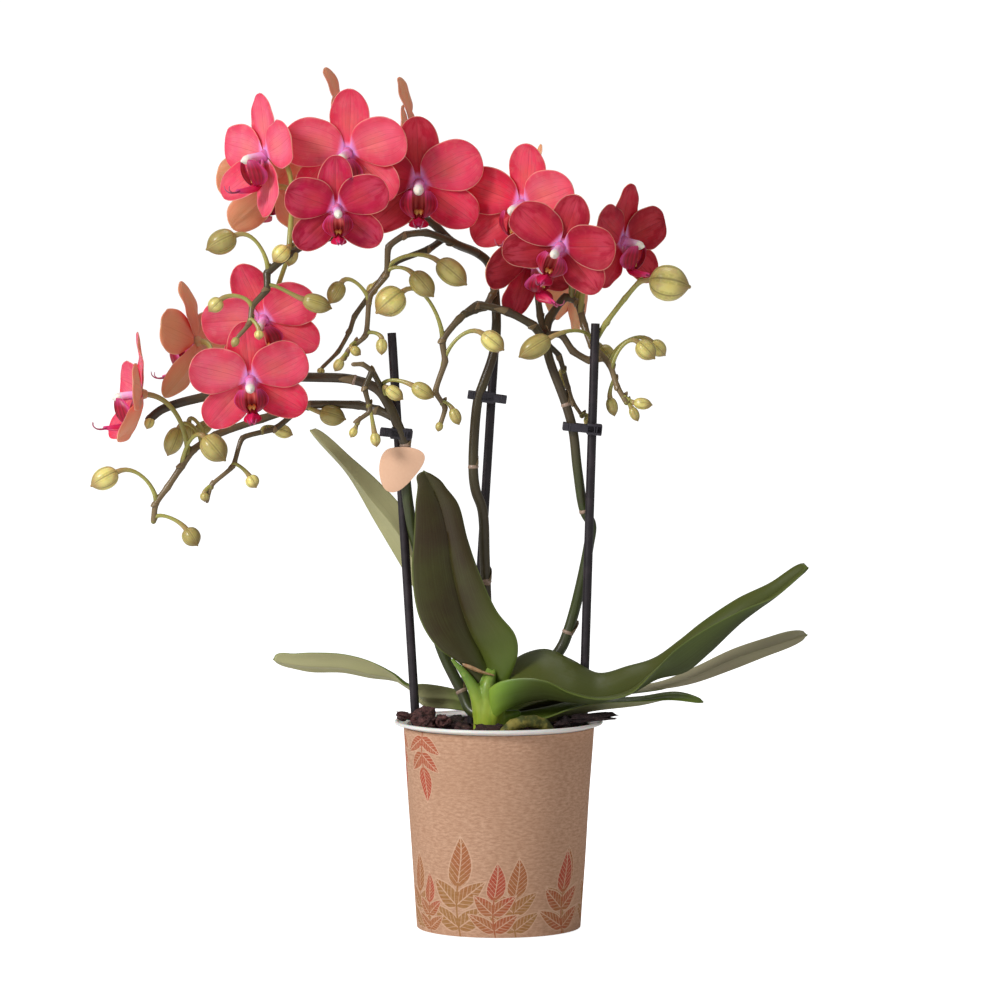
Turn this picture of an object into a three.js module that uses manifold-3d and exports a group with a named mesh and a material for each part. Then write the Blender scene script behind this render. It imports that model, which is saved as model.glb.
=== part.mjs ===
import * as THREE from 'three';
import { mergeVertices } from 'three/addons/utils/BufferGeometryUtils.js';
import Module from 'manifold-3d';

// Real sizes in millimetres. X runs to the right, Y to the back, Z up, zero under the middle of the pot.
const RIM_RADIUS = 45;
const POT_HEIGHT = 90;
const POT_TOP_RADIUS = 40.4;
const POT_BASE_RADIUS = 34.8;
const POT_WALL = 1.1;
const POT_FOOT = 2.5;
const POT_FLOOR = 1.4;
const RIM_THICKNESS = 1.6;
const POT_SIDES = 24;
const SLEEVE_THICKNESS = 0.6;
const SLEEVE_BOTTOM = 0.4;
const SLEEVE_TOP = 87.2;
const GAP = 0.3;
const BARK_TOP = 84;
const CHIP_COUNT = 16;
const STAKE_RADIUS = 1.95;
const ROOT_RADIUS = 2.6;
const ARM_RADIUS = 1.9;
const TWIG_RADIUS = 1.3;
const MAIN_SIDES = 6;
const BUD_STALK_RADIUS = 1.0;
const FLOWER_STALK_RADIUS = 1.25;
const LEAF_THICKNESS = 1.6;
const TEPAL_THICKNESS = 0.8;
const SLIVER = 0.08;
const TEPAL_LENGTH = 26.5;
const SEPAL_WIDTH = 16.5;
const PETAL_WIDTH = 20;
const HUB_RADIUS = 3;
const LIP_SCALE = 1.08;
const GOLDEN_ANGLE = 2.39996;
const CHIP_SPREAD = 33;
const RIM_EDGE = 1.2;
const BARK_FLOOR = 1.7;
const BARK_ROOM = 0.6;
const STALK_RISE = 0.35;
const STALK_ARRIVE = 0.4;

const wasm = await Module();
wasm.setup();

// Materials
function paint(name, colour, roughness) {
  const material = new THREE.MeshStandardMaterial({ color: colour, roughness, metalness: 0 });
  material.name = name;
  return material;
}
const potPlastic = () => paint('pot_plastic', 0xe9e6df, 0.45);
const kraftPaper = () => paint('kraft_paper', 0xc7a07c, 0.85);
const barkChip = () => paint('bark_chip', 0x3c2a28, 0.95);
const rootSkin = () => paint('root_skin', 0x97955a, 0.7);
const crownGreen = () => paint('crown_green', 0x9db63c, 0.5);
const leafGreen = () => paint('leaf_green', 0x47592d, 0.45);
const stemGreen = () => paint('stem_green', 0x4a4c30, 0.55);
const stakeBlack = () => paint('stake_black', 0x2f262c, 0.5);
const clipBlack = () => paint('clip_black', 0x29272b, 0.45);
const tagCard = () => paint('tag_card', 0xf0c39c, 0.8);
const petalRed = () => paint('petal_red', 0xd63a52, 0.55);
const lipCrimson = () => paint('lip_crimson', 0xb0185c, 0.5);

// Closed bodies and the pieces made from them
function body(geometry) {
  geometry.deleteAttribute('normal');
  geometry.deleteAttribute('uv');
  const welded = mergeVertices(geometry, 1e-4);
  const data = {
    numProp: 3,
    vertProperties: new Float32Array(welded.attributes.position.array),
    triVerts: new Uint32Array(welded.index.array),
  };
  return new wasm.Manifold(new wasm.Mesh(data));
}

function join(bodies) {
  return bodies.reduce((whole, next) => whole.add(next));
}

function largest(solid) {
  const pieces = solid.decompose();
  return pieces.reduce((best, next) => (next.volume() > best.volume() ? next : best)).simplify(SLIVER);
}

function piece(name, solid, material) {
  const got = largest(solid).getMesh();
  const geometry = new THREE.BufferGeometry();
  geometry.setAttribute('position', new THREE.BufferAttribute(new Float32Array(got.vertProperties), 3));
  geometry.setIndex(new THREE.BufferAttribute(new Uint32Array(got.triVerts), 1));
  geometry.computeVertexNormals();
  const mesh = new THREE.Mesh(geometry, material);
  mesh.name = name;
  return mesh;
}

const vec = (p) => new THREE.Vector3(p[0], p[1], p[2]);

function fromTriangles(points, triangles) {
  const geometry = new THREE.BufferGeometry();
  const flat = points.flatMap((p) => [p.x, p.y, p.z]);
  geometry.setAttribute('position', new THREE.Float32BufferAttribute(flat, 3));
  geometry.setIndex(triangles);
  return body(geometry);
}

// A round limb through a row of centres, with a radius at each of them
function sweep(path, radii, sides) {
  const steps = path.length - 1;
  const points = [];
  const triangles = [];
  const along = path.map((p, i) => {
    const ahead = path[Math.min(i + 1, steps)].clone();
    return ahead.sub(path[Math.max(i - 1, 0)]).normalize();
  });
  const side = new THREE.Vector3(0, 1, 0);
  if (Math.abs(along[0].y) > 0.8) side.set(1, 0, 0);
  path.forEach((centre, i) => {
    side.addScaledVector(along[i], -side.dot(along[i])).normalize();
    const other = along[i].clone().cross(side);
    for (let k = 0; k < sides; k += 1) {
      const angle = (2 * Math.PI * k) / sides;
      const out = side.clone().multiplyScalar(Math.cos(angle) * radii[i]);
      out.addScaledVector(other, Math.sin(angle) * radii[i]);
      points.push(centre.clone().add(out));
    }
  });
  for (let i = 0; i < steps; i += 1) {
    for (let k = 0; k < sides; k += 1) {
      const a = i * sides + k;
      const b = i * sides + ((k + 1) % sides);
      triangles.push(a, b, a + sides, b, b + sides, a + sides);
    }
  }
  const last = steps * sides;
  for (let k = 1; k < sides - 1; k += 1) {
    triangles.push(0, k + 1, k);
    triangles.push(last, last + k, last + k + 1);
  }
  return fromTriangles(points, triangles);
}

function limb(curve, radii, sides) {
  return sweep(curve.getSpacedPoints(radii.length - 1), radii, sides);
}

const route = (points) => new THREE.CatmullRomCurve3(points.map(vec), false, 'centripetal');
const even = (radius, steps) => new Array(steps + 1).fill(radius);

function rod(from, to, radius, sides) {
  return limb(new THREE.LineCurve3(vec(from), vec(to)), [radius, radius], sides);
}

// A thin sheet with a front, a back and an edge wall, from the points and faces of its middle
function shell(points, faces, thickness) {
  const count = points.length;
  const normals = points.map(() => new THREE.Vector3());
  const edges = new Set();
  faces.forEach(([a, b, c]) => {
    const ab = points[b].clone().sub(points[a]);
    const ac = points[c].clone().sub(points[a]);
    const normal = ab.cross(ac).normalize();
    [a, b, c].forEach((n) => normals[n].add(normal));
    [[a, b], [b, c], [c, a]].forEach(([from, to]) => edges.add(`${from}_${to}`));
  });
  const half = thickness / 2;
  const front = points.map((p, n) => p.clone().addScaledVector(normals[n].normalize(), half));
  const back = points.map((p, n) => p.clone().addScaledVector(normals[n], -half));
  const triangles = [];
  faces.forEach(([a, b, c]) => {
    triangles.push(a, b, c, a + count, c + count, b + count);
    [[a, b], [b, c], [c, a]].forEach(([from, to]) => {
      if (edges.has(`${to}_${from}`)) return;
      triangles.push(from, from + count, to, to, from + count, to + count);
    });
  });
  return fromTriangles(front.concat(back), triangles);
}

// Faces between two rows of points, where a row may also be one single point
function between(rowA, rowB) {
  const faces = [];
  for (let j = 0; j < Math.max(rowA.length, rowB.length) - 1; j += 1) {
    if (rowA.length > 1) faces.push([rowA[j], rowA[j + 1], rowB.length > 1 ? rowB[j] : rowB[0]]);
    if (rowB.length > 1) faces.push([rowA.length > 1 ? rowA[j + 1] : rowA[0], rowB[j + 1], rowB[j]]);
  }
  return faces;
}

function blade(rows, thickness) {
  let count = 0;
  const numbered = rows.map((row) => row.map(() => {
    count += 1;
    return count - 1;
  }));
  const faces = numbered.slice(1).flatMap((row, i) => between(numbered[i], row));
  return shell(rows.flat().map(vec), faces, thickness);
}

function turned(profile) {
  const points = profile.map(([r, z]) => new THREE.Vector2(r, z));
  const geometry = new THREE.LatheGeometry(points, POT_SIDES);
  geometry.rotateX(Math.PI / 2);
  return body(geometry);
}

// Pot: thin plastic with a flared rim and a flat bottom
function pot() {
  return turned([
    [0, 0],
    [POT_BASE_RADIUS - 2, 0],
    [POT_BASE_RADIUS, POT_FOOT],
    [POT_TOP_RADIUS, SLEEVE_TOP + GAP],
    [RIM_RADIUS, POT_HEIGHT - RIM_THICKNESS],
    [RIM_RADIUS, POT_HEIGHT],
    [RIM_RADIUS - RIM_EDGE, POT_HEIGHT],
    [POT_TOP_RADIUS - POT_WALL, POT_HEIGHT - RIM_THICKNESS],
    [POT_BASE_RADIUS - POT_WALL, POT_FLOOR],
    [0, POT_FLOOR],
  ]);
}

// Kraft paper sleeve wrapped round the pot under the rim
function potRadiusAt(z) {
  const share = (z - POT_FOOT) / (SLEEVE_TOP + GAP - POT_FOOT);
  return POT_BASE_RADIUS + (POT_TOP_RADIUS - POT_BASE_RADIUS) * share;
}

function sleeve() {
  const low = potRadiusAt(SLEEVE_BOTTOM) + GAP;
  const high = potRadiusAt(SLEEVE_TOP) + GAP;
  return turned([
    [low, SLEEVE_BOTTOM],
    [low + SLEEVE_THICKNESS, SLEEVE_BOTTOM],
    [high + SLEEVE_THICKNESS, SLEEVE_TOP],
    [high, SLEEVE_TOP],
    [low, SLEEVE_BOTTOM],
  ]);
}

// Three straight stakes pushed into the bark, [top, foot]
const STAKES = {
  stake_left: [[-46, 0, 257], [-34.9, -4, 76]],
  stake_middle: [[-1, 18, 263], [-12.6, 14, 76]],
  stake_right: [[41.6, 1, 261], [36.2, 3, 78]],
};

function stake(name, extra) {
  const [top, foot] = STAKES[name];
  return rod(foot, top, STAKE_RADIUS + extra, 8);
}

// Crown: the short stem where all leaves and spikes meet
function crown(extra) {
  const line = route([[-2, -7, 76], [-2, -8, 92], [-3, -7, 104], [-3, -6, 112]]);
  return limb(line, [7, 8.6, 8.2, 7.4, 5.4, 3].map((r) => r + extra), 10);
}

// Aerial root: a loop that leaves the bark and dips back into it
function root(extra) {
  const line = route([[1, -34, 82], [4, -34, 89.5], [11, -33, 92.6], [19, -30, 91], [24, -26, 83]]);
  return limb(line, even(ROOT_RADIUS + extra, 7), 7);
}

// Bark: a filled pot of bark with loose chips on top, holes where stems and stakes stand
let seed = 11;
function random() {
  seed = (seed * 16807) % 2147483647;
  return seed / 2147483647;
}

function chip(at, size, spin) {
  const geometry = new THREE.BoxGeometry(size[0], size[1], size[2]);
  geometry.rotateX(spin[0]);
  geometry.rotateY(spin[1]);
  geometry.rotateZ(spin[2]);
  geometry.translate(at[0], at[1], at[2]);
  return body(geometry);
}

// Large chips heaped up at the rim, [middle, size, turn about each axis]
const RIM_CHIPS = [
  [[41, -12, 92.4], [17, 6, 3], [0.05, -0.03, 0.2]],
  [[30, -10, 88.6], [8, 7, 8], [0.1, 0.1, 0.5]],
  [[-38, -14, 92.6], [12, 5, 2.6], [0.1, 0.25, 0.5]],
  [[-29, -15, 91.4], [8, 7, 8], [0.2, -0.2, 0.2]],
  [[-28, -22, 93], [8, 6, 5], [0.5, -0.3, 0.9]],
];

function bark() {
  const low = POT_BASE_RADIUS - POT_WALL - BARK_ROOM;
  const high = POT_TOP_RADIUS - POT_WALL - BARK_ROOM - GAP;
  const bodies = [turned([[0, BARK_FLOOR], [low, BARK_FLOOR], [high, BARK_TOP], [0, BARK_TOP]])];
  for (let n = 0; n < CHIP_COUNT; n += 1) {
    const angle = n * GOLDEN_ANGLE;
    const far = CHIP_SPREAD * Math.sqrt((n + 0.5) / CHIP_COUNT);
    const at = [far * Math.cos(angle), far * Math.sin(angle), BARK_TOP + 1 + 2.5 * random()];
    const size = [7 + 5 * random(), 5 + 3 * random(), 3 + 2 * random()];
    bodies.push(chip(at, size, [0.7 * random() - 0.35, 0.7 * random() - 0.35, 6.3 * random()]));
  }
  RIM_CHIPS.forEach(([at, size, spin]) => bodies.push(chip(at, size, spin)));
  let solid = join(bodies);
  solid = solid.subtract(crown(GAP));
  solid = solid.subtract(root(GAP));
  Object.keys(STAKES).forEach((name) => {
    solid = solid.subtract(stake(name, GAP));
  });
  return solid;
}

// Leaves: each row is far edge, midrib, near edge, from the crown to the tip
const LEAVES = {
  leaf_upright: [
    [[-7, -8, 107], [-2, -5, 108], [3, -8, 109]],
    [[-17, -10, 115], [-7, -5, 118], [9, -11, 120]],
    [[-27, -11, 122], [-12, -6, 128], [8, -12, 128]],
    [[-35, -11, 135], [-16, -7, 139], [0, -12, 138]],
    [[-38, -11, 155], [-20, -8, 156], [-8, -12, 155]],
    [[-37, -11, 170], [-22, -9, 171], [-13, -11, 169]],
    [[-36, -11, 184], [-26, -9, 186], [-17, -11, 184]],
    [[-35, -11, 193], [-30, -10, 194], [-23, -11, 192]],
    [[-32, -11, 198]],
  ],
  leaf_back_left: [
    [[-4, 5, 104], [-7, 2, 105], [-4, -2, 104]],
    [[-23, 13, 146], [-26, 10, 136], [-24, 14, 124]],
    [[-41, 17, 180], [-43, 13, 169], [-41, 17, 152]],
    [[-53, 20, 193], [-55, 17, 184], [-54, 21, 174]],
    [[-67, 23, 205], [-68, 21, 200], [-67, 24, 196]],
    [[-82, 25, 214]],
  ],
  leaf_low_left: [
    [[-5, 3, 98], [-6, 3, 95], [-5, 4, 92]],
    [[-22, 13, 103], [-22, 16, 98], [-22, 19, 92.5]],
    [[-38, 7, 105], [-38, 13, 99.5], [-38, 19, 95.5]],
    [[-58, 8, 113.6], [-58, 13, 107], [-58, 20, 104]],
    [[-73, 10, 116.6], [-73, 16, 109.4], [-73, 23, 106]],
    [[-86, 13, 115.8], [-87, 17, 109.6], [-86, 23, 107]],
    [[-98, 19, 112]],
  ],
  leaf_wavy_right: [
    [[4, -5, 108], [3, -9, 105], [1, -13, 104]],
    [[9, 3, 118], [9, -8, 109], [9, -20, 110]],
    [[20, 5, 121], [20, -8, 110], [20, -24, 109]],
    [[31, 0, 117], [31, -9, 107], [30, -26, 104]],
    [[43, -3, 111], [43, -11, 103], [43, -25, 101]],
    [[56, -2, 114], [56, -10, 105], [56, -22, 103]],
    [[67, 0, 117], [68, -9, 109], [66, -18, 112]],
    [[78, 0, 125], [80, -8, 112], [76, -14, 122]],
    [[88, 0, 133], [90, -8, 120], [88, -12, 130]],
    [[103, -1, 143], [104, -7, 133], [104, -10, 138]],
    [[119, -2, 151], [119, -5, 144], [119, -9, 144]],
    [[133, -4, 156]],
  ],
  leaf_back_right: [
    [[3, 1, 99], [4, 0, 96], [4, -3, 94]],
    [[33, 14, 102], [33, 11, 99], [33, 8, 99]],
    [[61, 12, 104], [61, 8, 101], [61, 5, 101]],
    [[83, 15, 107.5], [83, 10, 104], [83, 12, 101]],
    [[102, 16, 115.5], [102, 11, 112], [102, 14, 108]],
    [[120, 16, 122], [120, 12, 118], [120, 15, 114]],
    [[134, 15, 124]],
  ],
  leaf_low_right: [
    [[4, -7, 95], [5, -9, 93], [4, -12, 91]],
    [[20, -3, 97], [20, -8, 94], [20, -13, 94]],
    [[39, 0, 99], [39, -5, 96], [39, -10, 97]],
    [[61, 1, 100], [61, -3, 97.5], [61, -7, 98]],
    [[76, 0, 102], [76, -3, 100], [76, -7, 99]],
    [[88, -3, 98]],
  ],
};

function leaf(name) {
  return blade(LEAVES[name], LEAF_THICKNESS).subtract(crown(GAP));
}

// Blooms: middle of the flower, size, turn to the right, tilt up, roll and cup of its five tepals,
// and those tepals that stand off the pattern, as [more angle, more cup, twist]
const BLOOMS = {
  bloom_01: { at: [-99.4, -12, 333], size: 1, turn: -54, tilt: -4, roll: 2, cup: 0.1,
    from: [-88, -28, 289], bent: { 0: [-5, 0.3, 0], 1: [-40, 0.1, 0], 3: [0, -0.1, 0] } },
  bloom_02: { at: [-64, -20, 334], size: 1.05, turn: -14, tilt: -8, roll: 0, cup: 0.14,
    from: [-64, -6, 299], bent: { 2: [4, 0, 0], 3: [-9, 0, 0], 4: [-2, 0, 0] } },
  bloom_03: { at: [-68, -44, 310], size: 0.87, turn: 6, tilt: -8, roll: 2, cup: 0.14,
    from: [-72, -14, 297], bent: { 2: [12, 0, 0], 4: [-8, 0, 0] } },
  bloom_04: { at: [-34, -12, 321], size: 1.1, turn: 0, tilt: -8, roll: 0, cup: 0.12,
    from: [-37, 6, 306], bent: { 1: [8, 0, 0], 2: [14, 0, 0] } },
  bloom_05: { at: [10, -13.4, 312], size: 1.03, turn: -25, tilt: -8, roll: -8, cup: 0.14,
    from: [12, -2, 310], bent: { 2: [12, 0, 0], 3: [-10, 0, 0] } },
  bloom_06: { at: [26, -36, 294], size: 0.94, turn: -14, tilt: -12, roll: -24, cup: 0.14,
    from: [32, 18, 272], bent: { 0: [-14, 0, 0], 1: [18, 0, 0], 2: [12, 0, 0], 4: [-10, 0, 0] } },
  bloom_07: { at: [53.5, 6, 296.5], size: 0.94, turn: 50, tilt: -4, roll: 1, cup: 0.16,
    from: [36, 15, 265], bent: { 0: [8, -0.1, 0], 2: [8, 0, 0], 4: [-12, 0, 0] } },
  bloom_08: { at: [14, 3.6, 288.6], size: 1, turn: 38, tilt: -22, roll: 20, cup: 0.1,
    from: [3, 10, 283], bent: { 0: [20, 0, 0] } },
  bloom_09: { at: [-100.5, -8, 263], size: 1, turn: -12, tilt: -14, roll: 16, cup: 0.14,
    from: [-85, -26, 291] },
  bloom_10: { at: [-105.5, -25, 237.5], size: 1, turn: 2, tilt: -12, roll: 4, cup: 0.12,
    from: [-103, -2, 237], bent: { 1: [8, 0, 0], 2: [10, 0, 0], 4: [-8, 0, 0] } },
  bloom_11: { at: [-131, 14, 253], size: 1, turn: -108, tilt: -4, roll: 4, cup: 0.2,
    from: [-125, -2, 230], bent: { 1: [-20, 0.25, 0], 4: [0, -0.6, 0] } },
  bloom_12: { at: [-153, -10, 231], size: 1, turn: -80, tilt: 0, roll: 0, cup: 0.2,
    from: [-135, -7, 205], bent: { 0: [0, 0.3, 0], 1: [0, 0.3, 0], 3: [0, -0.15, 0] } },
  bloom_13: { at: [-68.5, 20, 345], size: 1, turn: -94, tilt: 0, roll: 0, cup: 0.02,
    from: [-60, -3, 301], bent: { 1: [-30, 0.6, 0], 3: [0, 0.2, 40] } },
  bloom_14: { at: [-38.2, 28, 341], size: 1, turn: -95, tilt: 0, roll: 0, cup: 0.02,
    from: [-45, 4, 305], bent: { 3: [0, 0.15, 40] } },
  bloom_15: { at: [14, 30, 312], size: 1, turn: 100, tilt: 0, roll: 0, cup: 0.14,
    from: [13, 20, 298] },
  bloom_16: { at: [35, 48, 283], size: 1, turn: -117, tilt: -6, roll: -50, cup: 0.2,
    from: [34, 18, 270] },
  bloom_17: { at: [-97.5, 20, 320], size: 1, turn: -145, tilt: 0, roll: 0, cup: 0.15,
    from: [-78, -20, 294] },
};

// Tepals in turn round the flower, as [angle, width, extra cup, step forward]
const TEPALS = [
  [-138, SEPAL_WIDTH, 0, -0.7],
  [-42, SEPAL_WIDTH, 0, -0.7],
  [14, PETAL_WIDTH, 0, 0.7],
  [92, SEPAL_WIDTH, 0.04, -0.7],
  [166, PETAL_WIDTH, 0, 0.7],
];
const TEPAL_STATIONS = [[0.3, 0.66], [0.62, 1], [0.88, 0.7], [1, 0]];
const TEPAL_FOOT = 1.4;
const EDGE_RISE = 0.12;
const TWIST_FROM = 0.2;
const TWIST_OVER = 0.42;

function tepalRows([baseAngle, width, extra, forward], bloom, [moreAngle, moreCup, twist]) {
  const length = TEPAL_LENGTH * bloom.size;
  const cup = bloom.cup + extra + moreCup;
  const rows = [[[HUB_RADIUS, TEPAL_FOOT, 0], [HUB_RADIUS, 0, 0], [HUB_RADIUS, -TEPAL_FOOT, 0]]];
  TEPAL_STATIONS.forEach(([along, share]) => {
    const far = length * along;
    const half = (width / 2) * share * bloom.size;
    const lift = forward + cup * length * along * along;
    const lean = twist * Math.min(1, (along - TWIST_FROM) / TWIST_OVER) * (Math.PI / 180);
    const side = (y) => [
      far,
      y * Math.cos(lean) - EDGE_RISE * half * Math.sin(lean),
      lift + y * Math.sin(lean) + EDGE_RISE * half * Math.cos(lean),
    ];
    rows.push(half > 0 ? [side(half), [far, 0, lift], side(-half)] : [[far, 0, lift]]);
  });
  const spin = ((baseAngle + moreAngle) * Math.PI) / 180;
  return rows.map((row) => row.map(([x, y, z]) => new THREE.Vector3(
    x * Math.cos(spin) - y * Math.sin(spin),
    x * Math.sin(spin) + y * Math.cos(spin),
    z,
  )));
}

function tepals(bloom) {
  const points = [new THREE.Vector3()];
  const faces = [];
  const feet = TEPALS.map((shape, n) => {
    const off = (bloom.bent && bloom.bent[n]) || [0, 0, 0];
    const numbered = tepalRows(shape, bloom, off).map((row) => row.map((p) => points.push(p) - 1));
    numbered.slice(1).forEach((row, i) => faces.push(...between(numbered[i], row)));
    return numbered[0];
  });
  feet.forEach((foot, n) => {
    const next = feet[(n + 1) % feet.length];
    faces.push([0, foot[2], foot[1]], [0, foot[1], foot[0]], [0, foot[0], next[2]]);
  });
  return shell(points, faces, TEPAL_THICKNESS);
}

// Lip: two side lobes that rise beside the column and a pointed middle lobe, all on the column's foot
function lip(size) {
  const line = route([[0, -1.8, 10.8], [0, -0.6, 7], [0, -0.6, 2.8], [0, -5.5, 3], [0, -11.4, 6]]
    .map((p) => vec(p).multiplyScalar(size).toArray()));
  const column = limb(line, [1.7, 2.3, 1.9, 1.3, 1.3], 5);
  const points = [
    [-5.6, -2.4, 10.2], [-5.8, -7.2, 6], [-5, -5.4, 11.8],
    [0, -12, 4.6], [-1.2, -11.6, 8.2], [1.2, -11.6, 8.2],
    [5.8, -7.2, 6], [5, -5.4, 11.8], [5.6, -2.4, 10.2],
    [-3.5, -13, 11.4], [3.5, -13, 11.4], [-0.8, -13.1, 14.6], [0.8, -13.1, 14.6], [0, -12.6, 20],
  ];
  const sideLobes = [[0, 1, 2], [1, 3, 2], [2, 3, 4], [4, 3, 5], [5, 3, 6], [5, 6, 7], [7, 6, 8]];
  const middleLobe = [[4, 5, 9], [5, 10, 9], [9, 10, 11], [10, 12, 11], [11, 12, 13]];
  const sized = points.map((p) => vec(p).multiplyScalar(size));
  return column.add(shell(sized, sideLobes.concat(middleLobe), TEPAL_THICKNESS));
}

function pose(bloom) {
  const rad = Math.PI / 180;
  const matrix = new THREE.Matrix4().makeRotationZ(bloom.turn * rad);
  matrix.multiply(new THREE.Matrix4().makeRotationX((90 - bloom.tilt) * rad));
  return matrix.multiply(new THREE.Matrix4().makeRotationZ(bloom.roll * rad));
}

function bloomPiece(name, suffix, solid, material) {
  const mesh = piece(name + suffix, solid, material);
  mesh.position.copy(vec(BLOOMS[name].at));
  mesh.quaternion.setFromRotationMatrix(pose(BLOOMS[name]));
  return mesh;
}

// Flower spikes: their main stem and side arms as routes, each with a start and an end radius
const STEMS = {
  spike_left: [
    { radii: [2.5, 1.9], points: [[-5, -4, 92], [-12, 0, 94], [-16, 3, 102], [-25, 4, 121],
      [-34, 1, 159], [-38, -5, 178], [-40, -7, 195], [-40, -8, 209], [-43, -8, 217], [-47, -7, 226],
      [-52, -7, 233], [-62, -7, 237], [-77, -5, 238], [-103, -2, 237], [-125, -2, 230],
      [-137, -3, 227], [-145, -4, 224], [-150, -5, 220]] },
    { radii: [ARM_RADIUS, 1.2], points: [[-45, -7, 221], [-52, -5, 224], [-60, -3, 226], [-81, 0, 226],
      [-102, 1, 220], [-122, -2, 213], [-131, -6, 207], [-136, -8, 200], [-142, -9, 191], [-147, -10, 184],
      [-148, -10, 176.5]] },
    { radii: [TWIG_RADIUS, 0.8], points: [[-84, 0, 226], [-96, -2, 216], [-110, -5, 212], [-114, -8, 200],
      [-123, -10, 192], [-125, -10, 185]] },
    { radii: [TWIG_RADIUS, 0.9], points: [[-49, -7, 231], [-54, -16, 241], [-58, -18, 244],
      [-62, -19, 244]] },
    { radii: [TWIG_RADIUS, 0.8], points: [[-54, -16, 241], [-57, -18, 234], [-55, -19, 224], [-60, -20, 220],
      [-61, -20, 216]] },
  ],
  spike_middle: [
    { radii: [2.4, 1.6], points: [[-1, 0, 95], [0, 9, 98], [-4, 12, 119], [-6, 10, 157], [-7, 8, 180],
      [-10, 6, 189], [-11, 6, 199], [-9, 8, 228], [-7, 8, 234], [-2, 10, 249], [-1, 12, 264], [-4, 20, 286],
      [-9, 16, 291], [-20, 9, 296], [-30, 6, 305], [-37, 6, 306], [-51, 2, 303], [-66, -8, 299],
      [-80, -22, 296], [-91, -30, 289], [-98, -32, 283]] },
    { radii: [1.6, 0.8], points: [[-98, -32, 283], [-98, -34, 276], [-104, -36, 269], [-105, -38, 262],
      [-110, -40, 256]] },
    { radii: [1.7, 0.9], points: [[-9, 16, 291], [-20, 0, 296], [-31, -8, 300], [-40, -10, 299],
      [-47, -10, 294], [-48, -10, 282], [-55, -10, 273], [-57, -10, 256], [-64, -10, 250], [-66, -10, 246]] },
    { radii: [1.5, 0.8], points: [[-23, 6, 298], [-30, 2, 293], [-45, 0, 287], [-54, 0, 275], [-62, 0, 264],
      [-64, 0, 258], [-69, 0, 249], [-76, 0, 242]] },
  ],
  spike_right: [
    { radii: [2.6, 1.9], points: [[1, -4, 101], [9, 1, 106], [20, 7, 112], [27, 10, 120], [30, 10, 127],
      [34, 10, 141], [39, 8, 165], [40, 8, 174], [37, 7, 180], [34, 4, 198], [32, 2, 215], [29, 2, 226],
      [22, 4, 245], [20, 6, 254]] },
    { radii: [ARM_RADIUS, 1.1], points: [[20, 6, 254], [22, 14, 263], [29, 18, 272], [34, 18, 270],
      [37, 12, 260], [40, 8, 252], [48, 6, 243], [51, 4, 234], [55, 2, 227]] },
    { radii: [ARM_RADIUS, 1.0], points: [[20, 6, 253], [15, 2, 260], [4, 0, 266], [-9, -2, 269],
      [-17, -6, 263], [-24, -8, 254], [-23, -8, 245], [-27, -8, 232], [-23, -8, 225], [-25, -8, 218]] },
    { radii: [1.5, 1.25], points: [[20, 6, 254], [18, 14, 264], [16, 21, 280], [13, 20, 298], [12, 8, 309],
      [12, -2, 310]] },
    { radii: [1.7, 1.3], points: [[-15, -5, 265], [-10, -2, 267], [-6, 2, 268], [-3, 12, 273],
      [3, 10, 283]] },
    { radii: [1.2, 1.0], points: [[41, 8, 252], [46, 0, 261], [54, -10, 272], [60, -17, 279],
      [64, -19, 280]] },
    { radii: [TWIG_RADIUS, 0.8], points: [[21, 6, 252], [26, 10, 247], [30, 10, 233], [32, 10, 227],
      [36, 10, 221]] },
    { radii: [1.5, 1.5], points: [[20, 6, 256], [27, 8, 256], [32, 8, 249], [39, 8, 245], [45, 7, 246]] },
  ],
};

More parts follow.
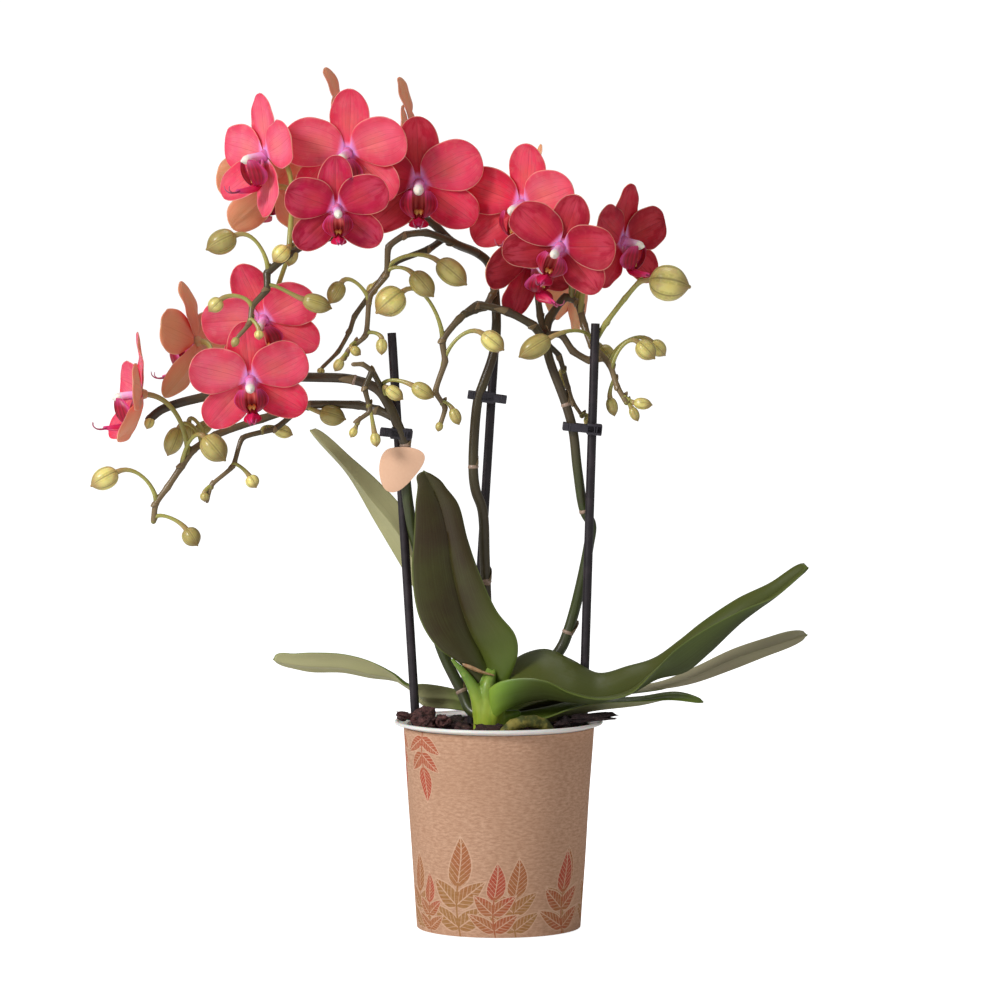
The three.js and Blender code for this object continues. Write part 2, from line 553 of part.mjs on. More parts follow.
// Buds: where the stalk leaves the stem, foot of the bud, tip of the bud, width
const BUDS = {
  spike_left: [
    [[-88, 0, 224], [-77, -2, 223], [-66, -3, 220], 9],
    [[-114, -8, 200], [-107, -9, 196], [-104, -10, 191], 6],
    [[-123, -10, 191], [-126, -11, 189], [-126, -11, 185], 4],
    [[-102, -1, 214], [-97, 3, 216], [-89, 4, 213], 6],
    [[-148, -10, 176.5], [-134, -12, 173.4], [-129, -14, 166.4], 8],
    [[-147, -10, 184.5], [-163, -14, 198], [-174, -16, 192], 9.6],
    [[-136, -8, 200.5], [-126, -14, 213], [-117, -16, 203], 11],
    [[-129, -4, 211], [-138, 6, 216], [-143, 8, 204], 7],
    [[-127, -4, 212], [-134, 9, 218], [-134, 11, 210], 6.5],
    [[-116, 0, 217], [-124, 6, 218], [-132, 8, 213], 6],
    [[-148, -5, 221], [-149, -5, 221], [-151, -6, 216], 4.4],
    [[-56, -19, 226], [-53, -20, 215], [-52, -21, 209], 4.5],
    [[-49, -9, 234], [-37, -15, 235], [-28, -17, 230], 7],
    [[-48, -7, 228], [-48, -13, 234], [-41, -14, 229], 6],
    [[-60, -20, 219], [-61, -20, 217], [-63, -21, 213], 3.6],
  ],
  spike_middle: [
    [[-97, -32, 283], [-111, -34, 299], [-123, -36, 293], 10.5],
    [[-89, -29, 290], [-89, -35, 294], [-95, -36, 288], 7.5],
    [[-84, -26, 290], [-87, -27, 294], [-89, -26, 286], 6],
    [[-104, -36, 268], [-117, -37, 272], [-122, -38, 267], 6.5],
    [[-98, -32, 275], [-83, -30, 272], [-71, -28, 268], 7],
    [[-105, -38, 263], [-101, -40, 259], [-101, -41, 255], 4],
    [[-110, -40, 256], [-110, -40, 256], [-112, -41, 252], 3.4],
    [[-48, -10, 282], [-26, -12, 288], [-14, -13, 278], 10.5],
    [[-45, -10, 281], [-37, -14, 283], [-28, -16, 273], 9.5],
    [[-57, -10, 270], [-67, -12, 279], [-72, -13, 270], 7.5],
    [[-57, -10, 256], [-50, -12, 255], [-50, -13, 248], 5],
    [[-65, -10, 248], [-67, -12, 246], [-70, -12, 241], 4.5],
    [[-61, -10, 252], [-63, -14, 251], [-59, -15, 248], 4.2],
    [[-51, 0, 279], [-53, 2, 278], [-56, 2, 273], 5],
    [[-76, 0, 242], [-76, 0, 242], [-77, 0, 239], 3.4],
  ],
  spike_right: [
    [[-24, -8, 254], [-41, -10, 275], [-52, -12, 266], 13],
    [[-23, -8, 242], [-7, -10, 257], [2, -11, 250], 8.5],
    [[-24, -8, 227], [-20, -10, 225], [-17, -11, 218], 5],
    [[-25, -8, 219], [-25, -8, 219], [-26, -9, 215], 3.4],
    [[64, -19, 280], [64, -19, 280], [81, -19, 277], 15.5],
    [[41, 8, 251], [22, -6, 255], [9, -8, 247], 9.5],
    [[50, 6, 241], [60, 4, 253], [67, 2, 246], 8.5],
    [[48, 6, 243], [66, 13, 253], [72, 14, 247], 7],
    [[42, 8, 249], [44, 15, 251], [49, 17, 244], 7.5],
    [[50, 5, 236], [48, 8, 229], [50, 8, 221], 5],
    [[54, 3, 229], [58, 2, 227], [66, 0, 226], 4.5],
    [[55, 2, 227], [57, 2, 225], [60, 2, 219], 4],
    [[36, 10, 221], [38, 12, 221], [41, 13, 215], 5],
    [[28, 10, 240], [27, 14, 240], [27, 14, 231], 6],
  ],
};

function nearestOn(lines, point) {
  let best = null;
  lines.forEach((line) => line.slice(1).forEach((end, i) => {
    const near = new THREE.Line3(line[i], end).closestPointToPoint(point, true, new THREE.Vector3());
    if (best === null || near.distanceTo(point) < best.distanceTo(point)) best = near;
  }));
  return best;
}

function stem({ radii, points }, extra, sides) {
  const steps = points.length - 1;
  const [thick, thin] = radii;
  const taper = points.map((p, i) => thick + ((thin - thick) * i) / steps + extra);
  return sweep(points.map(vec), taper, sides);
}

function stalk(start, end, aim, radius, steps) {
  const reach = start.distanceTo(end);
  const rise = start.clone().add(new THREE.Vector3(0, 0, STALK_RISE * reach));
  const arrive = end.clone().addScaledVector(aim, -STALK_ARRIVE * reach);
  const bend = new THREE.CubicBezierCurve3(start, rise, arrive, end);
  const path = bend.getPoints(steps);
  path.splice(steps, 0, end.clone().addScaledVector(aim, -1));
  return sweep(path, even(radius, steps + 1), 4);
}

// A bud and the stalk it hangs on, drawn as one limb that swells at the end
const BUD_SHARE = [0.3, 0.5, 0.45, 0.12];

function budOnStalk(start, foot, tip, width) {
  const aim = tip.clone().sub(foot).normalize();
  const reach = start.distanceTo(foot);
  const path = [];
  const radii = [];
  if (reach > 2) {
    const rise = start.clone().add(new THREE.Vector3(0, 0, STALK_RISE * reach));
    const arrive = foot.clone().addScaledVector(aim, -STALK_ARRIVE * reach);
    const bend = new THREE.CubicBezierCurve3(start, rise, arrive, foot);
    const steps = reach > 9 ? 3 : 2;
    for (let i = 0; i < steps; i += 1) {
      path.push(bend.getPoint(i / steps));
      radii.push(BUD_STALK_RADIUS);
    }
    path.push(foot.clone().addScaledVector(aim, -0.4));
    radii.push(BUD_STALK_RADIUS);
  }
  BUD_SHARE.forEach((share, i) => {
    path.push(foot.clone().lerp(tip, i / (BUD_SHARE.length - 1)));
    radii.push(share * width);
  });
  return sweep(path, radii, width > 6 ? 5 : 4);
}

function spike(name, bloomNames) {
  const lines = STEMS[name].map(({ points }) => points.map(vec));
  const bodies = STEMS[name].map((made, n) => stem(made, 0, n === 0 ? MAIN_SIDES : 5));
  BUDS[name].forEach(([from, footPoint, tipPoint, width]) => {
    bodies.push(budOnStalk(nearestOn(lines, vec(from)), vec(footPoint), vec(tipPoint), width));
  });
  bloomNames.forEach((bloomName) => {
    const bloom = BLOOMS[bloomName];
    const facing = new THREE.Vector3(0, 0, 1).applyMatrix4(pose(bloom));
    const end = vec(bloom.at).addScaledVector(facing, -TEPAL_THICKNESS / 2 - GAP);
    bodies.push(stalk(nearestOn(lines, vec(bloom.from)), end, facing, FLOWER_STALK_RADIUS, 4));
  });
  return join(bodies).subtract(crown(GAP));
}

const CARRIES = {
  spike_left: ['bloom_10', 'bloom_11', 'bloom_12'],
  spike_middle: ['bloom_01', 'bloom_02', 'bloom_03', 'bloom_04', 'bloom_09', 'bloom_13', 'bloom_14',
    'bloom_17'],
  spike_right: ['bloom_05', 'bloom_06', 'bloom_07', 'bloom_08', 'bloom_15', 'bloom_16'],
};

// Clips: a small block round stake and spike, [middle, long side direction in degrees, length]
const CLIPS = {
  clip_left: { at: [-44, -4.5, 214], tilt: 6, length: 14, stake: 'stake_left', spike: 'spike_left' },
  clip_middle: { at: [-5, 12, 229], tilt: 8, length: 17, stake: 'stake_middle', spike: 'spike_middle' },
  clip_right: { at: [36, 2, 216], tilt: 6, length: 17, stake: 'stake_right', spike: 'spike_right' },
};
const CLIP_DEPTH = 11;
const CLIP_HEIGHT = 5;

function clip(name) {
  const made = CLIPS[name];
  const geometry = new THREE.BoxGeometry(made.length, CLIP_DEPTH, CLIP_HEIGHT);
  geometry.rotateY((made.tilt * Math.PI) / 180);
  geometry.translate(made.at[0], made.at[1], made.at[2]);
  const held = stem(STEMS[made.spike][0], GAP, MAIN_SIDES);
  return body(geometry).subtract(stake(made.stake, GAP)).subtract(held);
}

// Name tag: a rounded three-cornered card that hangs in front of the left spike
function tag() {
  const shape = new THREE.Shape();
  shape.moveTo(-5, 9.4);
  shape.bezierCurveTo(0, 10.4, 7, 10.2, 9.4, 7);
  shape.bezierCurveTo(11.4, 4, 7, -1, 3.4, -5);
  shape.bezierCurveTo(0, -8.6, -4, -11.4, -7.2, -8.2);
  shape.bezierCurveTo(-10.4, -5, -11.4, 7.8, -5, 9.4);
  const geometry = new THREE.ExtrudeGeometry(shape, { depth: 0.8, bevelEnabled: false, curveSegments: 5 });
  geometry.rotateX(Math.PI / 2);
  geometry.translate(-41.5, -10.5, 198.5);
  return body(geometry);
}

// The whole plant
const plant = new THREE.Group();
plant.name = 'moth_orchid';
plant.add(piece('pot', pot(), potPlastic()));
plant.add(piece('kraft_sleeve', sleeve(), kraftPaper()));
plant.add(piece('bark_bed', bark(), barkChip()));
plant.add(piece('aerial_root', root(0), rootSkin()));
plant.add(piece('crown', crown(0), crownGreen()));
Object.keys(LEAVES).forEach((name) => plant.add(piece(name, leaf(name), leafGreen())));
Object.keys(STAKES).forEach((name) => plant.add(piece(name, stake(name, 0), stakeBlack())));
Object.keys(CLIPS).forEach((name) => plant.add(piece(name, clip(name), clipBlack())));
plant.add(piece('tag', tag(), tagCard()));
Object.keys(STEMS).forEach((name) => plant.add(piece(name, spike(name, CARRIES[name]), stemGreen())));
Object.keys(BLOOMS).forEach((name) => {
  plant.add(bloomPiece(name, '_tepals', tepals(BLOOMS[name]), petalRed()));
  plant.add(bloomPiece(name, '_lip', lip(LIP_SCALE * BLOOMS[name].size), lipCrimson()));
});

export default plant;
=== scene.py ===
import math
import random

import bpy
from mathutils import Matrix, Vector, noise


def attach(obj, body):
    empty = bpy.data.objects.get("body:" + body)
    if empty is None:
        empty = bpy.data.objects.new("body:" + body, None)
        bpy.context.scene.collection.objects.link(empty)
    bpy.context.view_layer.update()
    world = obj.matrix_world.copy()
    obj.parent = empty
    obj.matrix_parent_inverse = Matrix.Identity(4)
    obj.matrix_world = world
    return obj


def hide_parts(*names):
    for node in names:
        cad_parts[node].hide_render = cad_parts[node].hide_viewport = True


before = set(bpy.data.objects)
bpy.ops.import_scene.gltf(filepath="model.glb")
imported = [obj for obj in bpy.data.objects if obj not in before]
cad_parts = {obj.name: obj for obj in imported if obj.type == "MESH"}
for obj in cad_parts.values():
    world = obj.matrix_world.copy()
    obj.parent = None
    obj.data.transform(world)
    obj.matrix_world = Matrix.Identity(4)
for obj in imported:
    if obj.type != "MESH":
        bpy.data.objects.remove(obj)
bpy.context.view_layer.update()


# Studio
# A plain pale floor that runs up into a white room, soft light from the upper left and the right,
# and a long lens level with the flowers.
def linear(red, green, blue):
    return [((c / 255 + 0.055) / 1.055) ** 2.4 if c > 10 else c / 3300 for c in (red, green, blue)] + [1.0]


def plain_paint(name, colour, roughness):
    paint = bpy.data.materials.new(name)
    paint.use_nodes = True
    shade = paint.node_tree.nodes["Principled BSDF"]
    shade.inputs["Base Color"].default_value = colour
    shade.inputs["Roughness"].default_value = roughness
    return paint


def camera_only(tree, strength, seen, unseen):
    """A glow that the lens sees at one strength and the plant is lit by at another."""
    path = tree.nodes.new("ShaderNodeLightPath")
    glow = tree.nodes.new("ShaderNodeMapRange")
    glow.inputs["To Min"].default_value = unseen
    glow.inputs["To Max"].default_value = seen
    tree.links.new(path.outputs["Is Camera Ray"], glow.inputs["Value"])
    tree.links.new(glow.outputs[0], strength)


bpy.ops.object.select_all(action="DESELECT")
bpy.ops.mesh.primitive_plane_add(size=12, location=(0, 1.5, 0))
floor = bpy.context.object
floor.name = "studio_floor"
floor_paint = plain_paint("studio_white", linear(250, 250, 250), 0.6)
floor_shade = floor_paint.node_tree.nodes["Principled BSDF"]
floor_shade.inputs["Emission Color"].default_value = (1, 1, 1, 1)
camera_only(floor_paint.node_tree, floor_shade.inputs["Emission Strength"], 0.9, 0.0)
floor.data.materials.append(floor_paint)

room = bpy.data.worlds.new("white_room")
bpy.context.scene.world = room
room.use_nodes = True
backdrop = room.node_tree.nodes["Background"]
backdrop.inputs["Color"].default_value = (1, 1, 1, 1)
camera_only(room.node_tree, backdrop.inputs["Strength"], 1.05, 0.26)
bpy.context.scene.view_settings.view_transform = "Standard"


def set_out(name, data):
    """A new object in the scene."""
    made = bpy.data.objects.new(name, data)
    bpy.context.collection.objects.link(made)
    return made


# Metres, millimetres of lens and degrees below level
CAMERA_PLACE = (0.00056, -2.0, 0.3)
FOCAL_LENGTH = 167.4
CAMERA_DIP = 3.29
LIGHT_AIM = Vector((0, 0, 0.2))
for name, place, size, watts in (
    ("key_light", (-1.5, -1.3, 1.2), 0.7, 33),
    ("fill_light", (1.6, -1.4, 0.9), 1.2, 1.4),
    ("top_light", (0.1, 0.3, 2.0), 0.9, 6),
):
    lamp = bpy.data.lights.new(name, "AREA")
    lamp.shape = "DISK"
    lamp.size = size
    lamp.energy = watts
    light = set_out(name, lamp)
    light.location = place
    light.rotation_euler = (LIGHT_AIM - Vector(place)).to_track_quat("-Z", "Y").to_euler()

lens = bpy.data.cameras.new("photo_camera")
lens.sensor_width = 36
lens.lens = FOCAL_LENGTH
lens.clip_end = 20
camera = set_out("photo_camera", lens)
camera.location = CAMERA_PLACE
camera.rotation_euler = (math.radians(90 - CAMERA_DIP), 0, 0)
bpy.context.scene.camera = camera


# Pot
# A thin injection-moulded pot of milky plastic with a flared rolled rim and a flat bottom.
# Sizes from here on are in millimetres and become metres when a mesh is made.
MM = 0.001
RIM_RADIUS = 45
RIM_CURL = 0.8
POT_HEIGHT = 90
POT_TOP_RADIUS = 40.4
POT_BASE_RADIUS = 34.8
POT_WALL = 1.1
POT_FOOT = 2.5
POT_FLOOR = 1.4


def select_only(made):
    bpy.ops.object.select_all(action="DESELECT")
    made.select_set(True)
    bpy.context.view_layer.objects.active = made


def applied(made, kind, name, **settings):
    """Puts a modifier on the object and applies it."""
    select_only(made)
    modifier = made.modifiers.new(name, kind)
    for setting, value in settings.items():
        setattr(modifier, setting, value)
    bpy.ops.object.modifier_apply(modifier=modifier.name)


def finish_mesh(made, material, angle=40, merge=0.00002):
    """Doubles merged, faces turned outwards, soft shading up to an angle."""
    select_only(made)
    bpy.ops.object.mode_set(mode="EDIT")
    bpy.ops.mesh.select_all(action="SELECT")
    bpy.ops.mesh.remove_doubles(threshold=merge)
    bpy.ops.mesh.normals_make_consistent(inside=False)
    bpy.ops.object.mode_set(mode="OBJECT")
    bpy.ops.object.shade_smooth_by_angle(angle=math.radians(angle))
    made.data.materials.clear()
    made.data.materials.append(material)


def take_part(made, slot, *nodes):
    """The piece rides with the plant and stands for its solids, which are hidden. Its slot is not used."""
    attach(made, "root")
    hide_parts(*nodes)


def spun(name, outline, steps):
    """An outline of (radius, height) turned round the pot's middle."""
    mesh = bpy.data.meshes.new(name)
    points = [(r * MM, 0, z * MM) for r, z in outline]
    mesh.from_pydata(points, [(n, n + 1) for n in range(len(points) - 1)], [])
    made = set_out(name, mesh)
    select_only(made)
    bpy.ops.object.mode_set(mode="EDIT")
    bpy.ops.mesh.select_all(action="SELECT")
    bpy.ops.mesh.spin(steps=steps, angle=2 * math.pi, center=(0, 0, 0), axis=(0, 0, 1))
    bpy.ops.object.mode_set(mode="OBJECT")
    return made


def arc(middle, radius, start, end, count):
    """Points of a round corner, angles in degrees."""
    turns = [math.radians(start + (end - start) * n / count) for n in range(count + 1)]
    return [(middle[0] + radius * math.cos(t), middle[1] + radius * math.sin(t)) for t in turns]


inner_top = POT_TOP_RADIUS - POT_WALL
pot_outline = [(0, 0), (20, 0)] + arc((POT_BASE_RADIUS - POT_FOOT, POT_FOOT), POT_FOOT, -90, -4, 5)
pot_outline += [(POT_TOP_RADIUS, 87.3), (POT_TOP_RADIUS + 1.2, 87.7), (POT_TOP_RADIUS + 2.8, 88.1)]
pot_outline += arc((RIM_RADIUS - RIM_CURL, POT_HEIGHT - RIM_CURL), RIM_CURL, -80, 180, 10)
pot_outline += [(RIM_RADIUS - 2.6, 89), (POT_TOP_RADIUS + 0.7, 88.8)]
pot_outline += [(inner_top + 0.3, 88.4), (inner_top, 87.4)]
pot_outline += [(POT_BASE_RADIUS - POT_WALL, 2.6), (POT_BASE_RADIUS - POT_FOOT, POT_FLOOR)]
pot_outline += [(20, POT_FLOOR), (0, POT_FLOOR)]


class Wire:
    """A value on its way through a material's nodes, reckoned with as a number is."""

    def __init__(self, finish, socket):
        self.finish, self.socket = finish, socket

    def step(self, operation, *others, clamp=False):
        return self.finish.maths(operation, self, *others, clamp=clamp)

    def __add__(self, other):
        return self.step("ADD", other)

    def __sub__(self, other):
        return self.step("SUBTRACT", other)

    def __rsub__(self, number):
        return self.finish.maths("SUBTRACT", number, self)

    def __mul__(self, other):
        return self.step("MULTIPLY", other)

    def __truediv__(self, other):
        return self.step("DIVIDE", other)

    def __abs__(self):
        return self.step("ABSOLUTE")

    def most(self, other):
        return self.step("MAXIMUM", other)

    def ramp(self, low, high, to_low=0.0, to_high=1.0):
        """An eased change from to_low to to_high while the value goes from low to high."""
        node = self.finish.node("MapRange", self, low, high, to_low, to_high)
        node.interpolation_type = "SMOOTHSTEP"
        return Wire(self.finish, node.outputs[0])

    def mix(self, first, second):
        """The first colour where the value is 0 and the second where it is 1."""
        return self.finish.mix(self, first, second)


class Finish:
    """A material's node tree, built from left to right."""

    def __init__(self, name):
        self.material = bpy.data.materials.new(name)
        self.material.use_nodes = True
        self.tree = self.material.node_tree
        self.shade = self.tree.nodes["Principled BSDF"]

    def feed(self, socket, value):
        if isinstance(value, Wire):
            self.tree.links.new(value.socket, socket)
        else:
            socket.default_value = value

    def node(self, kind, *values):
        """A new node whose first inputs are fed in their order."""
        node = self.tree.nodes.new("ShaderNode" + kind)
        for socket, value in zip(node.inputs, values):
            self.feed(socket, value)
        return node

    def value(self, name, output="Fac"):
        """A value that the mesh carries under that name."""
        node = self.node("Attribute")
        node.attribute_name = name
        return Wire(self, node.outputs[output])

    def maths(self, operation, *values, clamp=False):
        node = self.node("Math", *values)
        node.operation = operation
        node.use_clamp = clamp
        return Wire(self, node.outputs[0])

    def place(self):
        return Wire(self, self.node("TexCoord").outputs["Object"])

    def axes(self, place):
        """A place's share along each axis."""
        return [Wire(self, output) for output in self.node("SeparateXYZ", place).outputs]

    def noise(self, scale, detail=3.0, roughness=0.55, stretch=None, place=None):
        """Clouds in the piece's own space, or over another place, that many to a metre."""
        place = place or self.place()
        if stretch:
            mapping = self.node("Mapping", place)
            mapping.inputs["Scale"].default_value = stretch
            place = Wire(self, mapping.outputs[0])
        node = self.node("TexNoise", place)
        node.inputs["Scale"].default_value = scale
        node.inputs["Detail"].default_value = detail
        node.inputs["Roughness"].default_value = roughness
        return Wire(self, node.outputs["Fac"])

    def mix(self, share, first, second):
        node = self.node("Mix")
        node.data_type = "RGBA"
        for n, value in ((0, share), (6, first), (7, second)):
            self.feed(node.inputs[n], value)
        return Wire(self, node.outputs[2])

    def bump(self, height, strength, distance):
        node = self.node("Bump")
        for name, value in (("Strength", strength), ("Distance", distance), ("Height", height)):
            self.feed(node.inputs[name], value)
        self.tree.links.new(node.outputs[0], self.shade.inputs["Normal"])

    def settle(self, colour, roughness, **sockets):
        """The finished material, with any other socket of its shader set by name."""
        self.feed(self.shade.inputs["Base Color"], colour)
        self.feed(self.shade.inputs["Roughness"], roughness)
        for name, value in sockets.items():
            self.shade.inputs[name.replace("_", " ")].default_value = value
        return self.material


milky = Finish("milky_plastic")
scuffs = milky.noise(900)
milky.bump(scuffs, 0.12, 0.0004)
milky_plastic = milky.settle(
    milky.noise(60).mix(linear(246, 244, 240), linear(236, 234, 228)),
    scuffs.ramp(0.3, 0.7, 0.34, 0.46),
    Subsurface_Weight=0.25,
    Subsurface_Scale=0.002,
)

pot = spun("pot_body", pot_outline, 128)
finish_mesh(pot, milky_plastic)
take_part(pot, "pot_plastic", "pot")


# Sleeve
# One strip of brown kraft paper, printed with sprays of rust and ochre leaves, rolled tightly round
# the pot under the rim and glued where its ends lap at the back.
SLEEVE_THICKNESS = 0.5
SLEEVE_BOTTOM = 0.4
SLEEVE_TOP = 87.2
SLEEVE_LAP = math.radians(14)
SLEEVE_STEPS = 180
SLEEVE_ROWS = 12
# How far the paper's middle stands off the pot, and how much further, and where, its end lifts to lap
SLEEVE_GAP = 0.55
LAP_LIFT = 0.62
LAP_START = 0.93
LAP_RISE = 0.04
# The radius at which the print is drawn true to size
PRINT_RADIUS = 38


def shares(steps):
    """Evenly spaced shares from 0 to 1."""
    return [n / steps for n in range(steps + 1)]


def pot_radius_at(z):
    return POT_BASE_RADIUS + (POT_TOP_RADIUS - POT_BASE_RADIUS) * (z - POT_FOOT) / (87.5 - POT_FOOT)


def sleeve_sheet():
    """The paper's middle as a grid that starts and ends behind the pot, one end lifted on the other."""
    mesh = bpy.data.meshes.new("sleeve_paper")
    points, corners = [], []
    for share in shares(SLEEVE_STEPS):
        angle = math.pi / 2 + (2 * math.pi + SLEEVE_LAP) * share
        lift = SLEEVE_GAP + LAP_LIFT * max(0.0, min(1.0, (share - LAP_START) / LAP_RISE))
        for up in shares(SLEEVE_ROWS):
            z = SLEEVE_BOTTOM + (SLEEVE_TOP - SLEEVE_BOTTOM) * up
            ripple = 0.06 * math.sin(5 * angle + 0.09 * z) + 0.05 * math.sin(11 * angle - 0.13 * z)
            radius = pot_radius_at(z) + lift + ripple
            points.append((radius * math.cos(angle) * MM, radius * math.sin(angle) * MM, z * MM))
            corners.append((share * 2 * math.pi * PRINT_RADIUS, z))
    faces = []
    for n in range(SLEEVE_STEPS):
        for row in range(SLEEVE_ROWS):
            a = n * (SLEEVE_ROWS + 1) + row
            faces.append((a, a + SLEEVE_ROWS + 1, a + SLEEVE_ROWS + 2, a + 1))
    mesh.from_pydata(points, [], faces)
    flat = mesh.uv_layers.new(name="paper")
    for loop in mesh.loops:
        flat.data[loop.index].uv = corners[loop.vertex_index]
    made = set_out("sleeve_paper", mesh)
    applied(made, "SOLIDIFY", "paper_thickness", thickness=SLEEVE_THICKNESS * MM, offset=0)
    return made


def layered(colour, *layers):
    """A colour with others laid over it in turn, each by its own share."""
    for share, tint in layers:
        colour = share.mix(colour, tint)
    return colour


kraft = Finish("printed_kraft")
paper_map = kraft.node("UVMap")
paper_map.uv_map = "paper"
paper_place = Wire(kraft, paper_map.outputs[0])
round_way, up_way = kraft.axes(paper_place)[:2]


def printed_leaf(ahead, aside, length, width):
    """Ink and paper margin of one broad leaf that points ahead from its foot, in millimetres."""
    share = ahead / length
    belly = (1.0 - share) * share.most(0.0).step("SQRT")
    side = abs(aside)
    gap = belly * (1.3 * width) - side
    begun = share.ramp(0.0, 0.03)
    band = abs(((ahead - side) / 2.3).step("FRACT") - 0.5)
    veined = side.ramp(0.16, 0.34) * band.ramp(0.05, 0.12, 0.25, 1.0)
    return gap.ramp(-0.1, 0.1) * (begun * veined), gap.ramp(-0.7, -0.45) * begun


# Where each leaf of a spray leaves the stalk, how far it leans out, its length and its width
SPRAY_LEAVES = [(20, 0.0, 20, 9.5), (12.5, 0.85, 15, 7.5), (3.5, 1.0, 16, 7)]


def leaf_spray(spacing, shift, up, smallest, largest):
    """Ink, margin and height of a row of sprays, each a stalk with two pairs of leaves and one on top."""
    along = (round_way + shift) / spacing
    chance = kraft.node("TexWhiteNoise")
    chance.noise_dimensions = "1D"
    kraft.feed(chance.inputs["W"], along.step("FLOOR") + shift)
    grown = Wire(kraft, chance.outputs["Value"]) * (largest - smallest) + smallest
    height = up / grown
    bend = (height * 0.13).step("SINE") * 1.4
    side = abs((along.step("FRACT") - 0.5) * spacing / grown + bend)
    ink = side.ramp(0.5, 0.3) * height.ramp(22, 21.5)
    margin = ink
    for foot, turn, length, width in SPRAY_LEAVES:
        risen = height - foot
        ahead = side * math.sin(turn) + risen * math.cos(turn)
        aside = side * math.cos(turn) - risen * math.sin(turn)
        leaf, edge = printed_leaf(ahead, aside, length, width)
        ink, margin = ink.most(leaf), margin.most(edge)
    return ink, margin, height


fibres = kraft.noise(0.8, 6.0, 0.7, (0.5, 1.4, 1), paper_place)
paper = layered(
    fibres.ramp(0.3, 0.7).mix(linear(180, 136, 108), linear(214, 173, 145)),
    (kraft.noise(28).ramp(0.35, 0.7, 0.0, 0.3), linear(184, 140, 110)),
    (kraft.noise(1600, 2.0, 0.6).ramp(0.66, 0.74, 0.0, 0.4), linear(150, 108, 80)),
)
wash = kraft.noise(90, 3.0, 0.6)
pale_line = kraft.mix(0.35, paper, linear(232, 196, 168))
from_edge, from_top = up_way - SLEEVE_BOTTOM, SLEEVE_TOP - up_way
corner = round_way.ramp(50.0, 50.5) * round_way.ramp(92.0, 91.5)
# Spacing, shift, height, least and greatest size, where it shows, and the ink low down and high up
SPRAYS = [
    [25.0, 15.0, from_edge, 0.85, 1.12, 1.0, linear(160, 112, 58), linear(164, 92, 48)],
    [33.0, 2.0, from_edge, 0.66, 0.92, 1.0, linear(164, 96, 50), linear(176, 58, 38)],
    [21.0, 13.0, from_top, 0.6, 0.78, corner, linear(168, 84, 48), linear(180, 60, 40)],
]
for spacing, shift, up, smallest, largest, window, low_ink, high_ink in SPRAYS:
    ink, margin, height = leaf_spray(spacing, shift, up, smallest, largest)
    blend = height.ramp(6, 34).step("ADD", wash.ramp(0.35, 0.65, -0.4, 0.4), clamp=True)
    strength = fibres.ramp(0.3, 0.75, 0.95, 0.7) * window
    paper = layered(paper, (margin * window, pale_line), (ink * strength, blend.mix(low_ink, high_ink)))
kraft.bump(fibres, 0.3, 0.0002)
printed_kraft = kraft.settle(paper, fibres.ramp(0.3, 0.7, 0.78, 0.9), Specular_IOR_Level=0.2)

sleeve = sleeve_sheet()
finish_mesh(sleeve, printed_kraft, 30, 0.000002)
take_part(sleeve, "kraft_paper", "kraft_sleeve")


# Bark
# Damp chips of pine bark that fill the pot to just under its rim. A closed bed fills the bottom and
# broken chips lie on it at random; one long one rests across the rim and a heap spills over it.
BARK_TOP = 83
BARK_REACH = 34.5
CHIP_COUNT = 240
GOLDEN_TURN = 2.39996
# Chips that lie further out than this are kept short, so as not to cut through the pot
NEAR_WALL = 31
SHORT_CHIP = 7
# What stands in the bark, where, and how near a chip may lie to it without burying it
STANDING = {
    "crown": (-2, -8, 10),
    "stake_left": (-35.2, -4, 3.6),
    "stake_middle": (-12.2, 14, 3.6),
    "stake_right": (36.6, 3, 3.6),
    "spike_middle": (-12, 1, 4),
}
bark_chance = random.Random(7)


def rough_chip(name, seed):
    """One broken flake of bark: a block with hacked corners and frayed layers."""
    bpy.ops.object.select_all(action="DESELECT")
    bpy.ops.mesh.primitive_cube_add(size=1, location=(0, 0, 0))
    made = bpy.context.object
    made.name = name
    bpy.ops.object.mode_set(mode="EDIT")
    bpy.ops.mesh.subdivide(number_cuts=4)
    bpy.ops.object.mode_set(mode="OBJECT")
    chance = random.Random(seed)
    for vertex in made.data.vertices:
        x, y, z = vertex.co
        pinch = 1 - 0.5 * (abs(x) * 2) ** 3 * (0.4 + 0.6 * chance.random())
        crack = [noise.noise((2.6 * x + 31 * k, 2.6 * y, 4.5 * z + 7 * seed)) for k in range(3)]
        layer = 0.08 * math.sin(13 * z + 4 * x + seed)
        jag = Vector([chance.uniform(-0.06, 0.06) for axis in range(3)])
        block = Vector((x + layer, y * pinch, z * (1 - 0.4 * abs(y) * 2)))
        vertex.co = block + 0.2 * Vector(crack) + jag
    return made


chip_models = [rough_chip("chip_model_%d" % n, n + 3) for n in range(4)]


class Growth:
    """Points and faces of one grown piece, with the values that its colours follow."""

    def __init__(self, *values):
        self.points = []
        self.faces = []
        self.values = {name: [] for name in values}
        self.colours = []

    def add(self, points, faces, **values):
        first = len(self.points)
        self.points += [Vector(p) * MM for p in points]
        self.faces += [[first + n for n in face] for face in faces]
        for name, row in self.values.items():
            given = values.get(name, 0.0)
            row += given if isinstance(given, (list, tuple)) else [given] * len(points)

    def piece(self, name, material, angle=60):
        mesh = bpy.data.meshes.new(name)
        mesh.from_pydata(self.points, [], self.faces)
        for value, row in self.values.items():
            mesh.attributes.new(value, "FLOAT", "POINT").data.foreach_set("value", row)
        if self.colours:
            tint = mesh.attributes.new("tint", "FLOAT_COLOR", "POINT")
            tint.data.foreach_set("color", [part for colour in self.colours for part in colour])
        made = set_out(name, mesh)
        finish_mesh(made, material, angle, 0.000001)
        return made


bed = Growth("shade")


